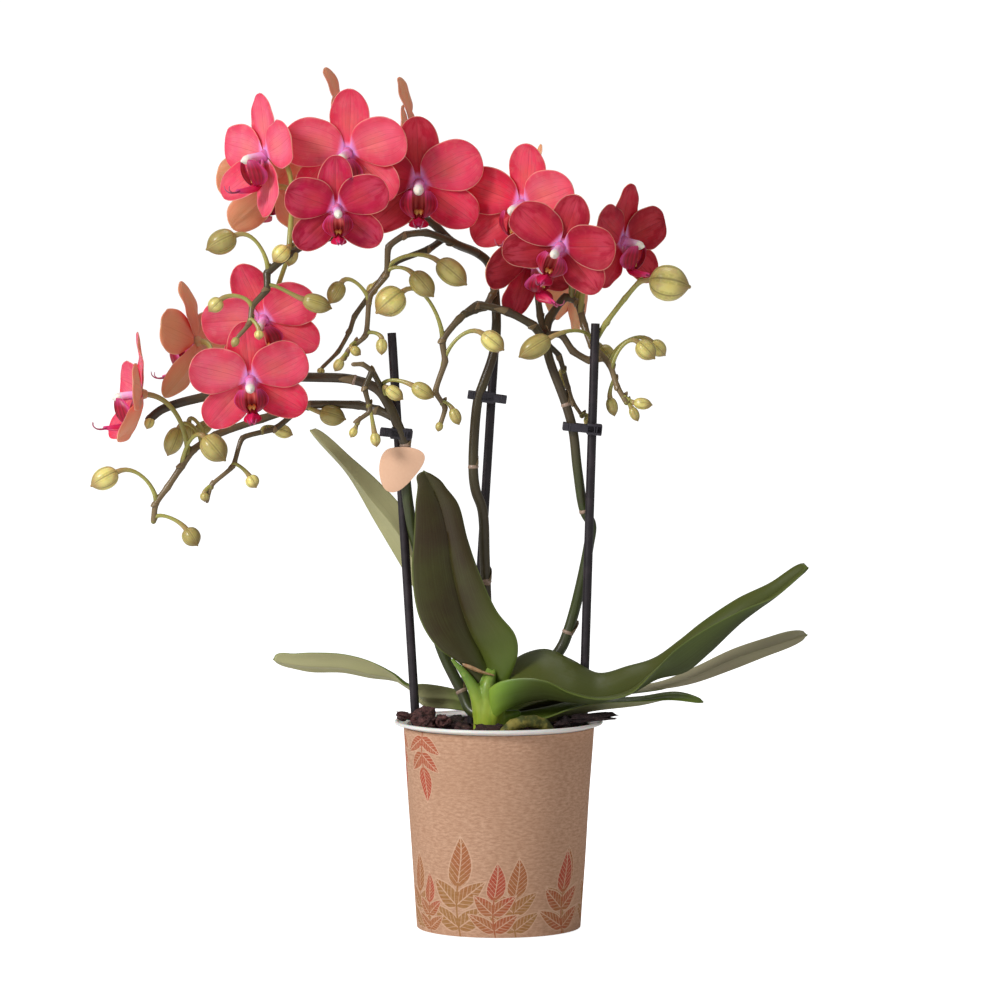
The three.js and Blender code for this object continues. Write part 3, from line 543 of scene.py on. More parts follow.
def lay_chip(at, size, turn, tilt, model, shade):
    """A copy of a model chip at its place and size, turned and tilted in degrees."""
    turned = Matrix.Rotation(math.radians(turn), 3, "Z") @ Matrix.Rotation(math.radians(tilt[0]), 3, "X")
    turned = turned @ Matrix.Rotation(math.radians(tilt[1]), 3, "Y") @ Matrix.Diagonal(size)
    mesh = chip_models[model].data
    points = [turned @ v.co + Vector(at) for v in mesh.vertices]
    bed.add(points, [list(face.vertices) for face in mesh.polygons], shade=shade)


for n in range(CHIP_COUNT):
    angle = n * GOLDEN_TURN
    far = BARK_REACH * math.sqrt((n + 0.5) / CHIP_COUNT)
    x = far * math.cos(angle) + bark_chance.uniform(-1, 1)
    y = far * math.sin(angle) + bark_chance.uniform(-1, 1)
    size = [bark_chance.uniform(5, 10.5), bark_chance.uniform(3.5, 6), bark_chance.uniform(1.8, 3.6)]
    height = BARK_TOP + bark_chance.uniform(0, 3.4) + 1.6 * math.sin(0.13 * x + 1) * math.cos(0.11 * y)
    tilt = (bark_chance.uniform(-28, 28), bark_chance.uniform(-28, 28))
    turn = bark_chance.uniform(0, 360)
    shade = bark_chance.random()
    if any(math.hypot(x - sx, y - sy) < clear for sx, sy, clear in STANDING.values()):
        height = min(height, BARK_TOP + 0.5)
        tilt = (tilt[0] * 0.3, tilt[1] * 0.3)
    if math.hypot(x, y) > NEAR_WALL:
        size[0] = min(size[0], SHORT_CHIP)
    lay_chip((x, y, height), size, turn, tilt, n % 4, shade)

# The chips that can be told apart in front: place, size, turn, tilt and how light they are
RIM_CHIPS = [
    [(40.5, -12, 92.3), (17, 6.5, 3.8), 12, (4, -3), 0.1],
    [(31, -10, 89.5), (10, 8, 6), 40, (10, 8), 0.0],
    [(-39, -12, 92.6), (9, 5.5, 3.2), 30, (8, 14), 0.7],
    [(-41, -7, 92.2), (6, 4, 2.4), 70, (18, -14), 0.6],
    [(-32, -17, 92.6), (9.5, 8, 8), 60, (25, -15), 0.9],
    [(-30, -20, 89.5), (8, 7, 6), 150, (-12, 30), 0.6],
    [(-24, -22, 91), (7, 5, 6.5), 120, (-35, 25), 1.0],
    [(-25, -14, 90.6), (6, 5, 6), 75, (40, 12), 0.5],
    [(-18, -21, 89.6), (9, 6, 5), 10, (14, 12), 0.15],
    [(-15, -26, 88.6), (7, 5, 4), 160, (-15, -20), 0.5],
    [(-20, -9, 89.6), (9, 6, 5), 35, (10, -16), 0.1],
    [(-4.5, -28, 88.4), (10, 6, 4.6), 6, (12, 6), 0.4],
    [(1, -24, 88), (8, 6, 4.6), 70, (-12, 16), 0.1],
    [(27, -20, 88.5), (10, 7, 5), 80, (-14, 12), 0.1],
    [(34, -4, 89), (9, 7, 5), 120, (12, -10), 0.0],
]
for at, size, turn, tilt, shade in RIM_CHIPS:
    lay_chip(at, size, turn, tilt, 1, shade)

# The closed bed under the chips, as radii and heights
bed_rings = [(0, 1.8), (32.6, 1.8), (33.4, 3), (38.2, 79), (37.2, 83.4), (24, 84.6), (0, 85)]
BED_SIDES = 48
bed_points = []
for radius, z in bed_rings:
    for n in range(BED_SIDES):
        angle = 2 * math.pi * n / BED_SIDES
        bump = 0.7 * math.sin(7 * angle + z) if 20 < radius and z > 80 else 0
        reach = radius - abs(bump)
        bed_points.append((reach * math.cos(angle), reach * math.sin(angle), z + bump))


def ring_faces(rings, sides):
    """The faces between rings of points that lie one above another."""
    faces = []
    for ring in range(rings - 1):
        for k in range(sides):
            a, b = ring * sides + k, ring * sides + (k + 1) % sides
            faces.append((a, b, b + sides, a + sides))
    return faces


bed.add(bed_points, ring_faces(len(bed_rings), BED_SIDES), shade=0.3)
for model in chip_models:
    bpy.data.objects.remove(model)

damp = Finish("damp_bark")
grain = damp.noise(350, 6.0, 0.7, (1, 1, 2.5))
grit = damp.noise(1300, 4.0, 0.7)
bark_colour = layered(
    damp.value("shade").mix(linear(40, 26, 28), linear(122, 78, 74)),
    (grain.ramp(0.35, 0.72), linear(34, 24, 27)),
    (grit.ramp(0.62, 0.72, 0.0, 0.8), linear(186, 150, 130)),
)
damp.bump(grain + grit, 0.8, 0.0012)
damp_bark = damp.settle(bark_colour, grain.ramp(0.3, 0.7, 0.5, 0.85), Specular_IOR_Level=0.4)

take_part(bed.piece("bark_chips", damp_bark, 30), "bark_chip", "bark_bed")


# Aerial root
# A living root as thick as a pencil lead that loops out of the bark and dips back into it. A spongy coat
# gives it a lumpy skin, dark olive with lighter yellow-olive patches.
def smooth(points, steps, soft=1.0):
    """A soft line through the points, with that many steps from one to the next."""
    ends = [Vector(p) for p in points]
    ends = [ends[0] * 2 - ends[1]] + ends + [ends[-1] * 2 - ends[-2]]
    line = []
    for a, b, c, d in zip(ends, ends[1:], ends[2:], ends[3:]):
        before, here, after = ((q - p).length ** 0.5 for p, q in ((a, b), (b, c), (c, d)))
        leave = ((b - a) / before - (c - a) / (before + here) + (c - b) / here) * here * soft
        arrive = ((c - b) / here - (d - b) / (here + after) + (d - c) / after) * here * soft
        for n in range(steps):
            t = n / steps
            near = b * (2 * t**3 - 3 * t**2 + 1) + leave * (t**3 - 2 * t**2 + t)
            line.append(near + c * (3 * t**2 - 2 * t**3) + arrive * (t**3 - t**2))
    return line + [ends[-2]]


def tube(growth, line, radii, sides, ribs=3, flute=0.0, dome=1.0, **values):
    """A round limb along a line of points, with a radius at each and ends as domed as asked."""
    line = [Vector(p) for p in line]
    last = len(line) - 1
    ways = [(line[min(n + 1, last)] - line[max(n - 1, 0)]).normalized() for n in range(last + 1)]
    side = ways[0].orthogonal()
    frames = []
    for way in ways:
        side = (side - way * side.dot(way)).normalized()
        frames.append((side.copy(), way.cross(side)))
    rings = [(line[n], frames[n], radii[n], n / last) for n in range(last + 1)]
    for end, turn in ((0, -1), (last, 1)):
        for lean in (38, 70):
            out = math.radians(lean)
            middle = line[end] + ways[end] * (turn * dome * radii[end] * math.sin(out))
            ring = (middle, frames[end], radii[end] * math.cos(out), float(end > 0))
            rings.insert(0 if end == 0 else len(rings), ring)
    points, alongs, rib = [], [], []
    for middle, (across, other), radius, share in rings:
        for k in range(sides):
            angle = 2 * math.pi * k / sides
            reach = radius * (1 - flute * max(0.0, math.cos(ribs * angle)) ** 4)
            points.append(middle + across * (math.cos(angle) * reach) + other * (math.sin(angle) * reach))
            alongs.append(share)
            rib.append(math.cos(ribs * angle))
    faces = ring_faces(len(rings), sides)
    points += [line[0] - ways[0] * (dome * radii[0]), line[-1] + ways[-1] * (dome * radii[-1])]
    for pole, ring in ((len(points) - 2, 0), (len(points) - 1, len(rings) - 1)):
        for k in range(sides):
            faces.append((pole, ring * sides + k, ring * sides + (k + 1) % sides))
    growth.add(points, faces, along=alongs + [0.0, 1.0], rib=rib + [0.0, 0.0], **values)


ROOT_LINE = [[1, -34, 82], [4, -34, 89.5], [11, -33, 92.6], [19, -30, 91], [24, -26, 83]]
root_chance = random.Random(3)
root_growth = Growth("along", "rib")
root_line = smooth(ROOT_LINE, 12)
lumps = [0.18 * math.sin(0.9 * n) + root_chance.uniform(-0.12, 0.12) for n in range(len(root_line))]
tube(root_growth, root_line, [2.6 + lump for lump in lumps], 18)

velamen = Finish("root_velamen")
cracks = velamen.noise(700, 4.0, 0.7)
root_colour = velamen.noise(190, 3.0, 0.6).ramp(0.38, 0.62).mix(linear(70, 76, 30), linear(142, 132, 62))
root_colour = cracks.ramp(0.58, 0.72, 0.0, 0.7).mix(root_colour, linear(66, 46, 30))
velamen.bump(cracks, 0.5, 0.0006)
root_velamen = velamen.settle(root_colour, 0.68, Specular_IOR_Level=0.35)
take_part(root_growth.piece("aerial_root_loop", root_velamen), "root_skin", "aerial_root")


# Crown
# The short fleshy stem, bright yellow-green at its foot, where the folded leaf bases part in a V: one
# runs up each side into its leaf, and a dry brown bract is left in the middle by a lost leaf.
def acrosses(columns):
    """Evenly spaced shares from one edge, -1, to the other, 1."""
    return [2 * share - 1 for share in shares(columns - 1)]


def sheet(place, rows, columns):
    """A grid of the points that place gives for how far along and how far across."""
    return [[place(u, v) for v in acrosses(columns)] for u in shares(rows - 1)]


def skin(growth, grid, thickness, **values):
    """A closed sheet: a front and a back either side of a grid of points, and a rounded edge."""
    rows, columns = len(grid), len(grid[0])
    uv = [(u, v) for u in shares(rows - 1) for v in acrosses(columns)]
    front, back = [], []
    for i, row in enumerate(grid):
        for j, middle in enumerate(row):
            along = grid[min(i + 1, rows - 1)][j] - grid[max(i - 1, 0)][j]
            across = row[min(j + 1, columns - 1)] - row[max(j - 1, 0)]
            normal = across.cross(along).normalized()
            half = thickness(*uv[i * columns + j]) / 2
            if i in (0, rows - 1) or j in (0, columns - 1):
                half *= 0.6
            front.append(middle + normal * half)
            back.append(middle - normal * half)
    border = [(0, j) for j in range(columns)] + [(i, columns - 1) for i in range(1, rows)]
    border += [(rows - 1, j) for j in range(columns - 2, -1, -1)] + [(i, 0) for i in range(rows - 2, 0, -1)]
    rim, loop = [], [i * columns + j for i, j in border]
    for i, j in border:
        inner = grid[min(max(i, 1), rows - 2)][min(max(j, 1), columns - 2)]
        out = (grid[i][j] - inner).normalized()
        rim.append(grid[i][j] + out * (0.3 * thickness(*uv[i * columns + j])))
    count = rows * columns
    faces = []
    for i in range(rows - 1):
        for j in range(columns - 1):
            a = i * columns + j
            faces.append((a, a + 1, a + columns + 1, a + columns))
            faces.append((a + count, a + columns + count, a + columns + 1 + count, a + 1 + count))
    for n, a in enumerate(loop):
        b, ahead = loop[(n + 1) % len(loop)], (n + 1) % len(loop)
        faces.append((a, b, 2 * count + ahead, 2 * count + n))
        faces.append((a + count, 2 * count + n, 2 * count + ahead, b + count))
    values["along"], values["across"] = zip(*(uv * 2 + [uv[n] for n in loop]))
    values["back"] = [0.0] * count + [1.0] * count + [0.3] * len(loop)
    growth.add(front + back + rim, faces, **values)


def rails_grid(rows, steps, columns, fold=0.3, bulge=0.1):
    """The grid of a leaf from rows of its left edge, midrib and right edge, softened both ways."""
    middles = [Vector(row[len(row) // 2]) for row in rows]
    lefts = [Vector(row[0]) - m for row, m in zip(rows, middles)]
    rights = [Vector(row[-1]) - m for row, m in zip(rows, middles)]
    lefts[-1], rights[-1] = lefts[-2], rights[-2]
    lefts = [left + m for left, m in zip(lefts, middles)]
    rights = [right + m for right, m in zip(rights, middles)]
    lines = [smooth(line, steps) for line in (middles, lefts, rights)]
    total = len(lines[0]) - 1
    grid = []
    for i, (middle, left_edge, right_edge) in enumerate(zip(*lines)):
        width = 1.0
        if i > total - steps:
            gone = (i - (total - steps)) / steps
            width = max(0.04, math.sqrt(max(0.0, 1 - gone**2.2)))
        left, right = (left_edge - middle) * width, (right_edge - middle) * width
        ahead = lines[0][min(i + 1, total)] - lines[0][max(i - 1, 0)]
        up = (right - left).cross(ahead).normalized()
        half = (left.length + right.length) / 2
        row = []
        for across in acrosses(columns):
            reach = math.sqrt(across**2 + fold**2 * 0.04) - fold * 0.2
            wing = left if across < 0 else right
            row.append(middle + wing * reach + up * (bulge * half * 4 * reach * (1 - reach)))
        grid.append(row)
    return grid


CROWN_LIMBS = [
    [[-5.6, -8.4, 77], [-5.6, -8.8, 88], [-5.4, -9, 95], [-4.8, -9, 101], [-4.2, -8.4, 107]],
    [[-6.6, -9, 92], [-8.8, -10.2, 100], [-11.8, -10.6, 106.5], [-15.6, -10.8, 112], [-20, -10.8, 117]],
    [[-5, -10, 96], [-5.2, -10.6, 101.5], [-4.6, -10.2, 106], [-3.4, -9, 109.4], [-2, -8, 111.4]],
    [[-4, -6, 94], [-6.2, -5.6, 102], [-6, -5, 107.6], [-3.4, -4.2, 112]],
    [[-4, -9.2, 88], [-2.4, -10, 94], [0, -10.4, 98], [4, -10.2, 101]],
    [[-1, -6, 77], [-0.6, -6.4, 87], [2.6, -7, 91.5], [8, -8.4, 93.5]],
]
CROWN_RADII = [
    [5.6, 5.4, 5.2, 4.4, 3.0],
    [4.6, 3.4, 2.5, 1.7, 0.8],
    [2.4, 3.1, 3.1, 2.4, 1.2],
    [4.4, 4.6, 4.2, 2.6],
    [4.2, 4.4, 3.6, 1.8],
    [4.6, 4.4, 3.2, 1.8],
]
crown_growth = Growth("along", "across", "back", "dry")
for limb, radii in zip(CROWN_LIMBS, CROWN_RADII):
    crown_line = smooth(limb, 5)
    knots = [n / 5 for n in range(len(crown_line))]
    pairs = [(radii[int(k)], radii[min(int(k) + 1, len(radii) - 1)], k % 1) for k in knots]
    tube(crown_growth, crown_line, [a + (b - a) * share for a, b, share in pairs], 24)

fleshy = Finish("crown_flesh")
sideways, _, upwards = fleshy.axes(fleshy.place())
streaks = fleshy.noise(500, 2.0, 0.5, (1, 1, 0.12))
flesh = layered(
    upwards.ramp(0.091, 0.112).mix(linear(178, 200, 66), linear(112, 146, 56)),
    (fleshy.noise(140).ramp(0.4, 0.7, 0.0, 0.4), linear(188, 206, 96)),
    (streaks.ramp(0.45, 0.7, 0.0, 0.3), linear(104, 138, 44)),
    # Painted shade: the right side of the crown is painted a darker green.
    (sideways.ramp(-0.001, 0.008, 0.0, 0.85), linear(84, 122, 34)),
    (fleshy.value("dry"), streaks.mix(linear(206, 168, 124), linear(120, 82, 52))),
)
fleshy.bump(streaks, 0.12, 0.0005)
crown_flesh = fleshy.settle(flesh, 0.38, Subsurface_Weight=0.15, Subsurface_Scale=0.003)
crown = crown_growth.piece("crown_sheaths", crown_flesh)
applied(crown, "REMESH", "grown_together", voxel_size=0.45 * MM)
applied(crown, "SMOOTH", "grown_together", iterations=14)

dry_line = smooth([[-15.4, -10.9, 115], [-11.4, -11.6, 113.4], [-7, -12, 111.7], [-2, -12.8, 110.4]], 5)
dry_grid = []
for middle, share in zip(dry_line, shares(len(dry_line) - 1)):
    half = 0.75 * math.sin(math.pi * min(0.97, 0.15 + 0.85 * share)) + 0.1
    curl = Vector((0.2 * math.sin(7 * share), -0.5 * half, half))
    dry_grid.append([middle - curl, middle + Vector((0, -0.35, 0)), middle + curl])
bract_growth = Growth("along", "across", "back", "dry")
skin(bract_growth, dry_grid, lambda u, v: 0.5, dry=1.0)
dry_bract = bract_growth.piece("dry_bract", crown_flesh)
crown.select_set(True)
bpy.ops.object.join()
dry_bract.name = "crown_sheaths_and_bract"
take_part(dry_bract, "crown_green", "crown")


# Leaves
# Six thick strap leaves, each folded along its midrib. The upper side is a glossy dark green that the
# sun has flushed purple-brown, the underside pale and dull, the edge a thin light line.
# Rows from the crown to the tip: left edge, midrib and right edge, as seen on the upper side with the
# tip ahead. The two back leaves turn that side away from the lens.
LEAVES = {
    "leaf_upright": [
        [[-7, -8, 104], [-2, -5, 104], [3.4, -8, 105]],
        [[-17, -10, 115], [-7, -5, 118], [9, -11, 120]],
        [[-27, -11, 122], [-12, -6, 128], [8, -12, 128]],
        [[-35, -11, 135], [-16, -7, 139], [0, -12, 138]],
        [[-38, -11, 155], [-20, -8, 156], [-8, -12, 155]],
        [[-37, -11, 170], [-22, -9, 171], [-13, -11, 169]],
        [[-36, -11, 184], [-26, -9, 186], [-17, -11, 184]],
        [[-35, -11, 193], [-30, -10, 194], [-23, -11, 192]],
        [[-32, -11, 198]],
    ],
    "leaf_back_left": [
        [[-4, 5, 104], [-7, 2, 105], [-4, -2, 104]],
        [[-23, 13, 146], [-26, 10, 136], [-24, 14, 124]],
        [[-41, 17, 180], [-43, 13, 169], [-41, 17, 152]],
        [[-53, 20, 193], [-55, 17, 184], [-54, 21, 174]],
        [[-67, 23, 205], [-68, 21, 200], [-67, 24, 196]],
        [[-82, 25, 214]],
    ],
    "leaf_low_left": [
        [[-5, 3, 98], [-6, 3, 95], [-5, 4, 92]],
        [[-21, 12, 102.6], [-21, 15, 98], [-21, 18, 92.5]],
        [[-33, 8, 104.8], [-33, 13, 99], [-33, 18, 94]],
        [[-40, 8, 104], [-40, 14, 103.2], [-40, 20, 102.4]],
        [[-46, 9, 109], [-46, 14, 106.8], [-46, 21, 104.6]],
        [[-56, 9, 114.6], [-56, 14, 109], [-56, 21, 105.8]],
        [[-68, 10, 117.6], [-68, 15, 111.6], [-68, 22, 108]],
        [[-82, 12, 118], [-82, 17, 112], [-82, 23, 108.2]],
        [[-91, 15, 117.4], [-91, 18, 113], [-91, 22, 110.2]],
        [[-98, 19, 114.4]],
    ],
    "leaf_wavy_right": [
        [[2, -5, 105], [-2.4, -13.4, 92.6], [-3.8, -13.6, 105.4]],
        [[5, -2, 113.4], [1.4, -14.8, 95.4], [0.4, -16.4, 108.2]],
        [[9, 3, 118], [9, -16, 98.8], [9, -20, 110]],
        [[20, 5, 121], [20, -18.4, 101.2], [20, -24, 109]],
        [[31, 0, 117], [31, -20, 100], [30, -26, 104]],
        [[43, -3, 111], [43, -17, 99.4], [43, -25, 101]],
        [[56, -2, 114], [56, -13, 102.6], [56, -22, 103]],
        [[67, 0, 117], [68, -9, 109], [66, -18, 112]],
        [[78, 0, 125], [80, -8, 112], [76, -14, 122]],
        [[88, 0, 133], [90, -8, 120], [88, -12, 130]],
        [[103, -1, 143], [104, -7, 133], [104, -10, 138]],
        [[119, -2, 151], [119, -5, 144], [119, -9, 144]],
        [[133, -4, 156]],
    ],
    "leaf_back_right": [
        [[4, -3, 92], [4, 0, 92], [3, 1, 98]],
        [[14, -1, 97], [14, 4, 94], [15, 8, 101]],
        [[33, 6, 99.8], [33, 10, 97], [33, 14, 103]],
        [[61, 5, 101.6], [61, 8, 102.2], [61, 12, 104]],
        [[72, 9, 102.6], [72, 9, 103.6], [72, 13, 106]],
        [[85, 13, 104.6], [85, 11, 107.6], [85, 15, 111.4]],
        [[102, 14, 110.4], [102, 12, 115], [102, 16, 119.4]],
        [[120, 15, 117.4], [120, 13, 121], [120, 16, 125.4]],
        [[134, 15, 125.4]],
    ],
    "leaf_low_right": [
        [[2, -6, 93], [3.6, -9.4, 88], [4, -12, 88.6]],
        [[20, -4, 96], [20, -9, 90], [20, -15, 92]],
        [[30, -2, 98], [30, -7, 92.5], [30, -14, 95.6]],
        [[40, 0, 99], [40, -5, 94.8], [40, -10, 97.8]],
        [[61, 1, 100], [61, -3, 97.2], [61, -7, 98.6]],
        [[76, 0, 102], [76, -3, 100], [76, -7, 99]],
        [[88, -3, 98]],
    ],
}
# How far the sun has flushed each leaf, which on the underside is partly a painted grey sheen, and how green
# the underside is, which brings painted shade along its fold
FLUSH_SHEEN_AND_GREEN = {
    "leaf_upright": [1.0, 0.0],
    "leaf_back_left": [0.1, 0.0],
    "leaf_low_left": [0.0, 0.1],
    "leaf_wavy_right": [0.6, 1.0],
    "leaf_back_right": [0.9, 0.0],
    "leaf_low_right": [0.0, 0.6],
}


def flat_place(along, across):
    """A place on a flat map of a leaf or a tepal."""
    return Wire(along.finish, along.finish.node("CombineXYZ", along, across).outputs[0])


blade = Finish("leaf_blade")
leaf_along, leaf_across, behind = blade.value("along"), blade.value("across"), blade.value("back")
from_midrib = abs(leaf_across)
fine_veins = blade.noise(1.0, 2.0, 0.6, (5, 46, 1), flat_place(leaf_along, leaf_across))
patches = blade.noise(34, 3.0, 0.6)
# The flush share also carries a painted grey sheen where it tints an underside.
flush_and_sheen_share = blade.value("flush") * (leaf_across * -0.22 + leaf_along).ramp(-0.14, 0.4)
flush_and_sheen_share = flush_and_sheen_share * patches.ramp(0.2, 0.7, 0.7, 1.0)
upper = layered(
    patches.mix(linear(68, 88, 24), linear(114, 130, 46)),
    (leaf_along.ramp(0.2, 0.0, 0.0, 0.35), linear(72, 98, 26)),
    (flush_and_sheen_share, linear(56, 42, 22)),
    (fine_veins.ramp(0.4, 0.75, 0.0, 0.16), linear(96, 104, 62)),
    (from_midrib.ramp(0.03, 0.01, 0.0, 0.45), linear(110, 116, 72)),
)
green_under = leaf_along.ramp(0.07, 0.23).mix(linear(112, 150, 46), linear(76, 88, 34))
under = layered(
    patches.mix(linear(168, 166, 116), linear(196, 192, 144)),
    # Partly sun flush and partly a painted grey sheen: the lighter grey-brown on a flushed underside.
    (flush_and_sheen_share * 0.75, linear(118, 104, 92)),
    # Painted shade: a green underside is painted darker over one half and along the midrib fold, fading out
    # towards the other edge.
    (blade.value("green"), leaf_across.ramp(0.75, 0.1, 0.0, 0.6).mix(green_under, linear(48, 50, 22))),
    (leaf_along.ramp(0.16, 0.02, 0.0, 0.85), linear(140, 172, 54)),
    (fine_veins.ramp(0.4, 0.75, 0.0, 0.2), linear(104, 124, 76)),
)
leaf_edge = from_midrib.ramp(0.965, 0.99).most(leaf_along.ramp(0.985, 1.0))
leaf_colour = (leaf_edge * 0.4).mix(behind.ramp(0.35, 0.7).mix(upper, under), linear(118, 134, 66))
blade.bump(fine_veins, 0.1, 0.0005)
leaf_blade = blade.settle(
    leaf_colour,
    behind.ramp(0.35, 0.7, 0.36, 0.5),
    Specular_IOR_Level=0.3,
    Coat_Weight=0.1,
    Coat_Roughness=0.2,
)

for name, rows in LEAVES.items():
    growth = Growth("along", "across", "back", "flush", "green")
    grid = rails_grid(rows, 9, 21)
    flush, green = FLUSH_SHEEN_AND_GREEN[name]
    skin(growth, grid, lambda u, v: 1.7 - 0.9 * abs(v) ** 2, flush=flush, green=green)
    take_part(growth.piece(name + "_blade", leaf_blade), "leaf_green", name)


# Stakes
# Three straight sticks of dark plum-brown plastic-coated wire, cut square and pushed into the bark.
STAKES = {
    "stake_left": [[-46, 0, 257], [-34.9, -4, 76]],
    "stake_middle": [[-1, 18, 263], [-12.6, 14, 76]],
    "stake_right": [[41.6, 1, 261], [36.2, 3, 78]],
}
STAKE_RADIUS = 1.95
STAKE_STEPS = 24

coated = Finish("stake_coating")
ridges = coated.noise(1200, 2.0, 0.5, (1, 1, 0.05))
coated.bump(ridges, 0.3, 0.0004)
stake_coating = coated.settle(
    coated.noise(160).ramp(0.4, 0.7).mix(linear(30, 22, 28), linear(48, 38, 44)),
    ridges.ramp(0.3, 0.7, 0.36, 0.52),
)


def straight(start, end, steps):
    return [Vector(start).lerp(Vector(end), share) for share in shares(steps)]


for name, (top, foot) in STAKES.items():
    growth = Growth("along")
    radii = [STAKE_RADIUS] * STAKE_STEPS + [0.97 * STAKE_RADIUS]
    tube(growth, straight(foot, top, STAKE_STEPS), radii, sides=20, dome=0.04)
    take_part(growth.piece(name + "_rod", stake_coating), "stake_black", name)


# Flower spikes
# Three branching stems, green-brown below and nearly black-brown in the side arms. A pale ring and a
# papery bract mark every joint. Buds hang on thin stalks, flowers on longer, paler ones.
ARM = 1.9
TWIG = 1.3
# The limbs of each spike, the main stem first: how thick at its foot and its tip, and its line
STEMS = {
    "spike_left": [
        [2.5, 1.9, [[-5, -4, 92], [-12, 0, 94], [-16, 3, 102], [-25, 4, 121], [-34, 1, 159],
            [-38, -5, 178], [-40, -7, 195], [-40, -8, 209], [-43, -8, 217], [-47, -7, 226], [-52, -7, 233],
            [-62, -7, 237], [-77, -5, 238], [-103, -2, 237], [-125, -2, 230], [-137, -3, 227],
            [-145, -4, 224], [-150, -5, 220]]],
        [ARM, 1.2, [[-45, -7, 221], [-52, -5, 224], [-60, -3, 226], [-81, 0, 226], [-102, 1, 220],
            [-122, -2, 213], [-131, -6, 207], [-136, -8, 200], [-142, -9, 191], [-147, -10, 184],
            [-148, -10, 176.5]]],
        [TWIG, 0.8, [[-84, 0, 226], [-96, -2, 216], [-110, -5, 212], [-114, -8, 200], [-123, -10, 192],
            [-125, -10, 185]]],
        [TWIG, 0.9, [[-49, -7, 231], [-54, -16, 241], [-58, -18, 244], [-62, -19, 244]]],
        [TWIG, 0.8, [[-54, -16, 241], [-57, -18, 234], [-55, -19, 224], [-60, -20, 220], [-61, -20, 216]]],
    ],
    "spike_middle": [
        [2.4, 1.6, [[-1, 0, 95], [0, 9, 98], [-4, 12, 119], [-6, 10, 157], [-7, 8, 180], [-10, 6, 189],
            [-11, 6, 199], [-9, 8, 228], [-7, 8, 234], [-2, 10, 249], [-1, 12, 264], [-4, 20, 286],
            [-9, 16, 291], [-20, 9, 296], [-30, 6, 305], [-37, 6, 306], [-51, 2, 303], [-66, -8, 299],
            [-80, -22, 296], [-91, -30, 289], [-98, -32, 283]]],
        [1.6, 0.8, [[-98, -32, 283], [-98, -34, 276], [-104, -36, 269], [-105, -38, 262],
            [-110, -40, 256]]],
        [1.7, 0.9, [[-9, 16, 291], [-20, 0, 296], [-31, -8, 300], [-40, -10, 299], [-47, -10, 294],
            [-48, -10, 282], [-55, -10, 273], [-57, -10, 256], [-64, -10, 250], [-66, -10, 246]]],
        [1.5, 0.8, [[-23, 6, 298], [-30, 2, 293], [-45, 0, 287], [-54, 0, 275], [-62, 0, 264],
            [-64, 0, 258], [-69, 0, 249], [-76, 0, 242]]],
    ],
    "spike_right": [
        [2.6, 1.9, [[1, -4, 101], [9, 1, 106], [20, 7, 112], [27, 10, 120], [30, 10, 127], [34, 10, 141],
            [39, 8, 165], [40, 8, 174], [37, 7, 180], [34, 4, 198], [32, 2, 215], [29, 2, 226],
            [22, 4, 245], [20, 6, 254]]],
        [ARM, 1.1, [[20, 6, 254], [22, 14, 263], [29, 18, 272], [34, 18, 270], [37, 12, 260], [40, 8, 252],
            [48, 6, 243], [51, 4, 234], [55, 2, 227]]],
        [ARM, 1, [[20, 6, 253], [15, 2, 260], [4, 0, 266], [-9, -2, 269], [-17, -6, 263], [-24, -8, 254],
            [-23, -8, 245], [-27, -8, 232], [-23, -8, 225], [-25, -8, 218]]],
        [1.5, 1.25, [[20, 6, 254], [18, 14, 264], [16, 21, 280], [13, 20, 298], [12, 8, 309],
            [12, -2, 310]]],
        [1.7, 1.3, [[-15, -5, 265], [-10, -2, 267], [-6, 2, 268], [-3, 12, 273], [3, 10, 283]]],
        [1.2, 1, [[41, 8, 252], [46, 0, 261], [54, -10, 272], [60, -17, 279], [64, -19, 280]]],
        [TWIG, 0.8, [[21, 6, 252], [26, 10, 247], [30, 10, 233], [32, 10, 227], [36, 10, 221]]],
        [1.5, 1.5, [[20, 6, 256], [27, 8, 256], [32, 8, 249], [39, 8, 245], [45, 7, 246]]],
    ],
}
# The limb that is one big bud's own pale stalk
BUD_LIMB = {"spike_right": 5}
# Where the rings and bracts sit, and how far along the stem and out from it a ring goes
JOINT_RING = [(-0.65, 0.02), (-0.35, 0.2), (0, 0.28), (0.35, 0.18), (0.65, 0.02)]
JOINTS = {
    "spike_left": [[-16, 3, 102], [-34, 1, 159], [-40, -8, 209], [-62, -7, 237], [-103, -2, 237]],
    "spike_middle": [[-6, 10, 149], [-11, 6, 199], [-2, 10, 249], [-37, 6, 306], [-66, -8, 298]],
    "spike_right": [[30, 10, 127], [37, 7, 180], [29, 2, 226], [20, 6, 254], [4, 0, 266]],
}
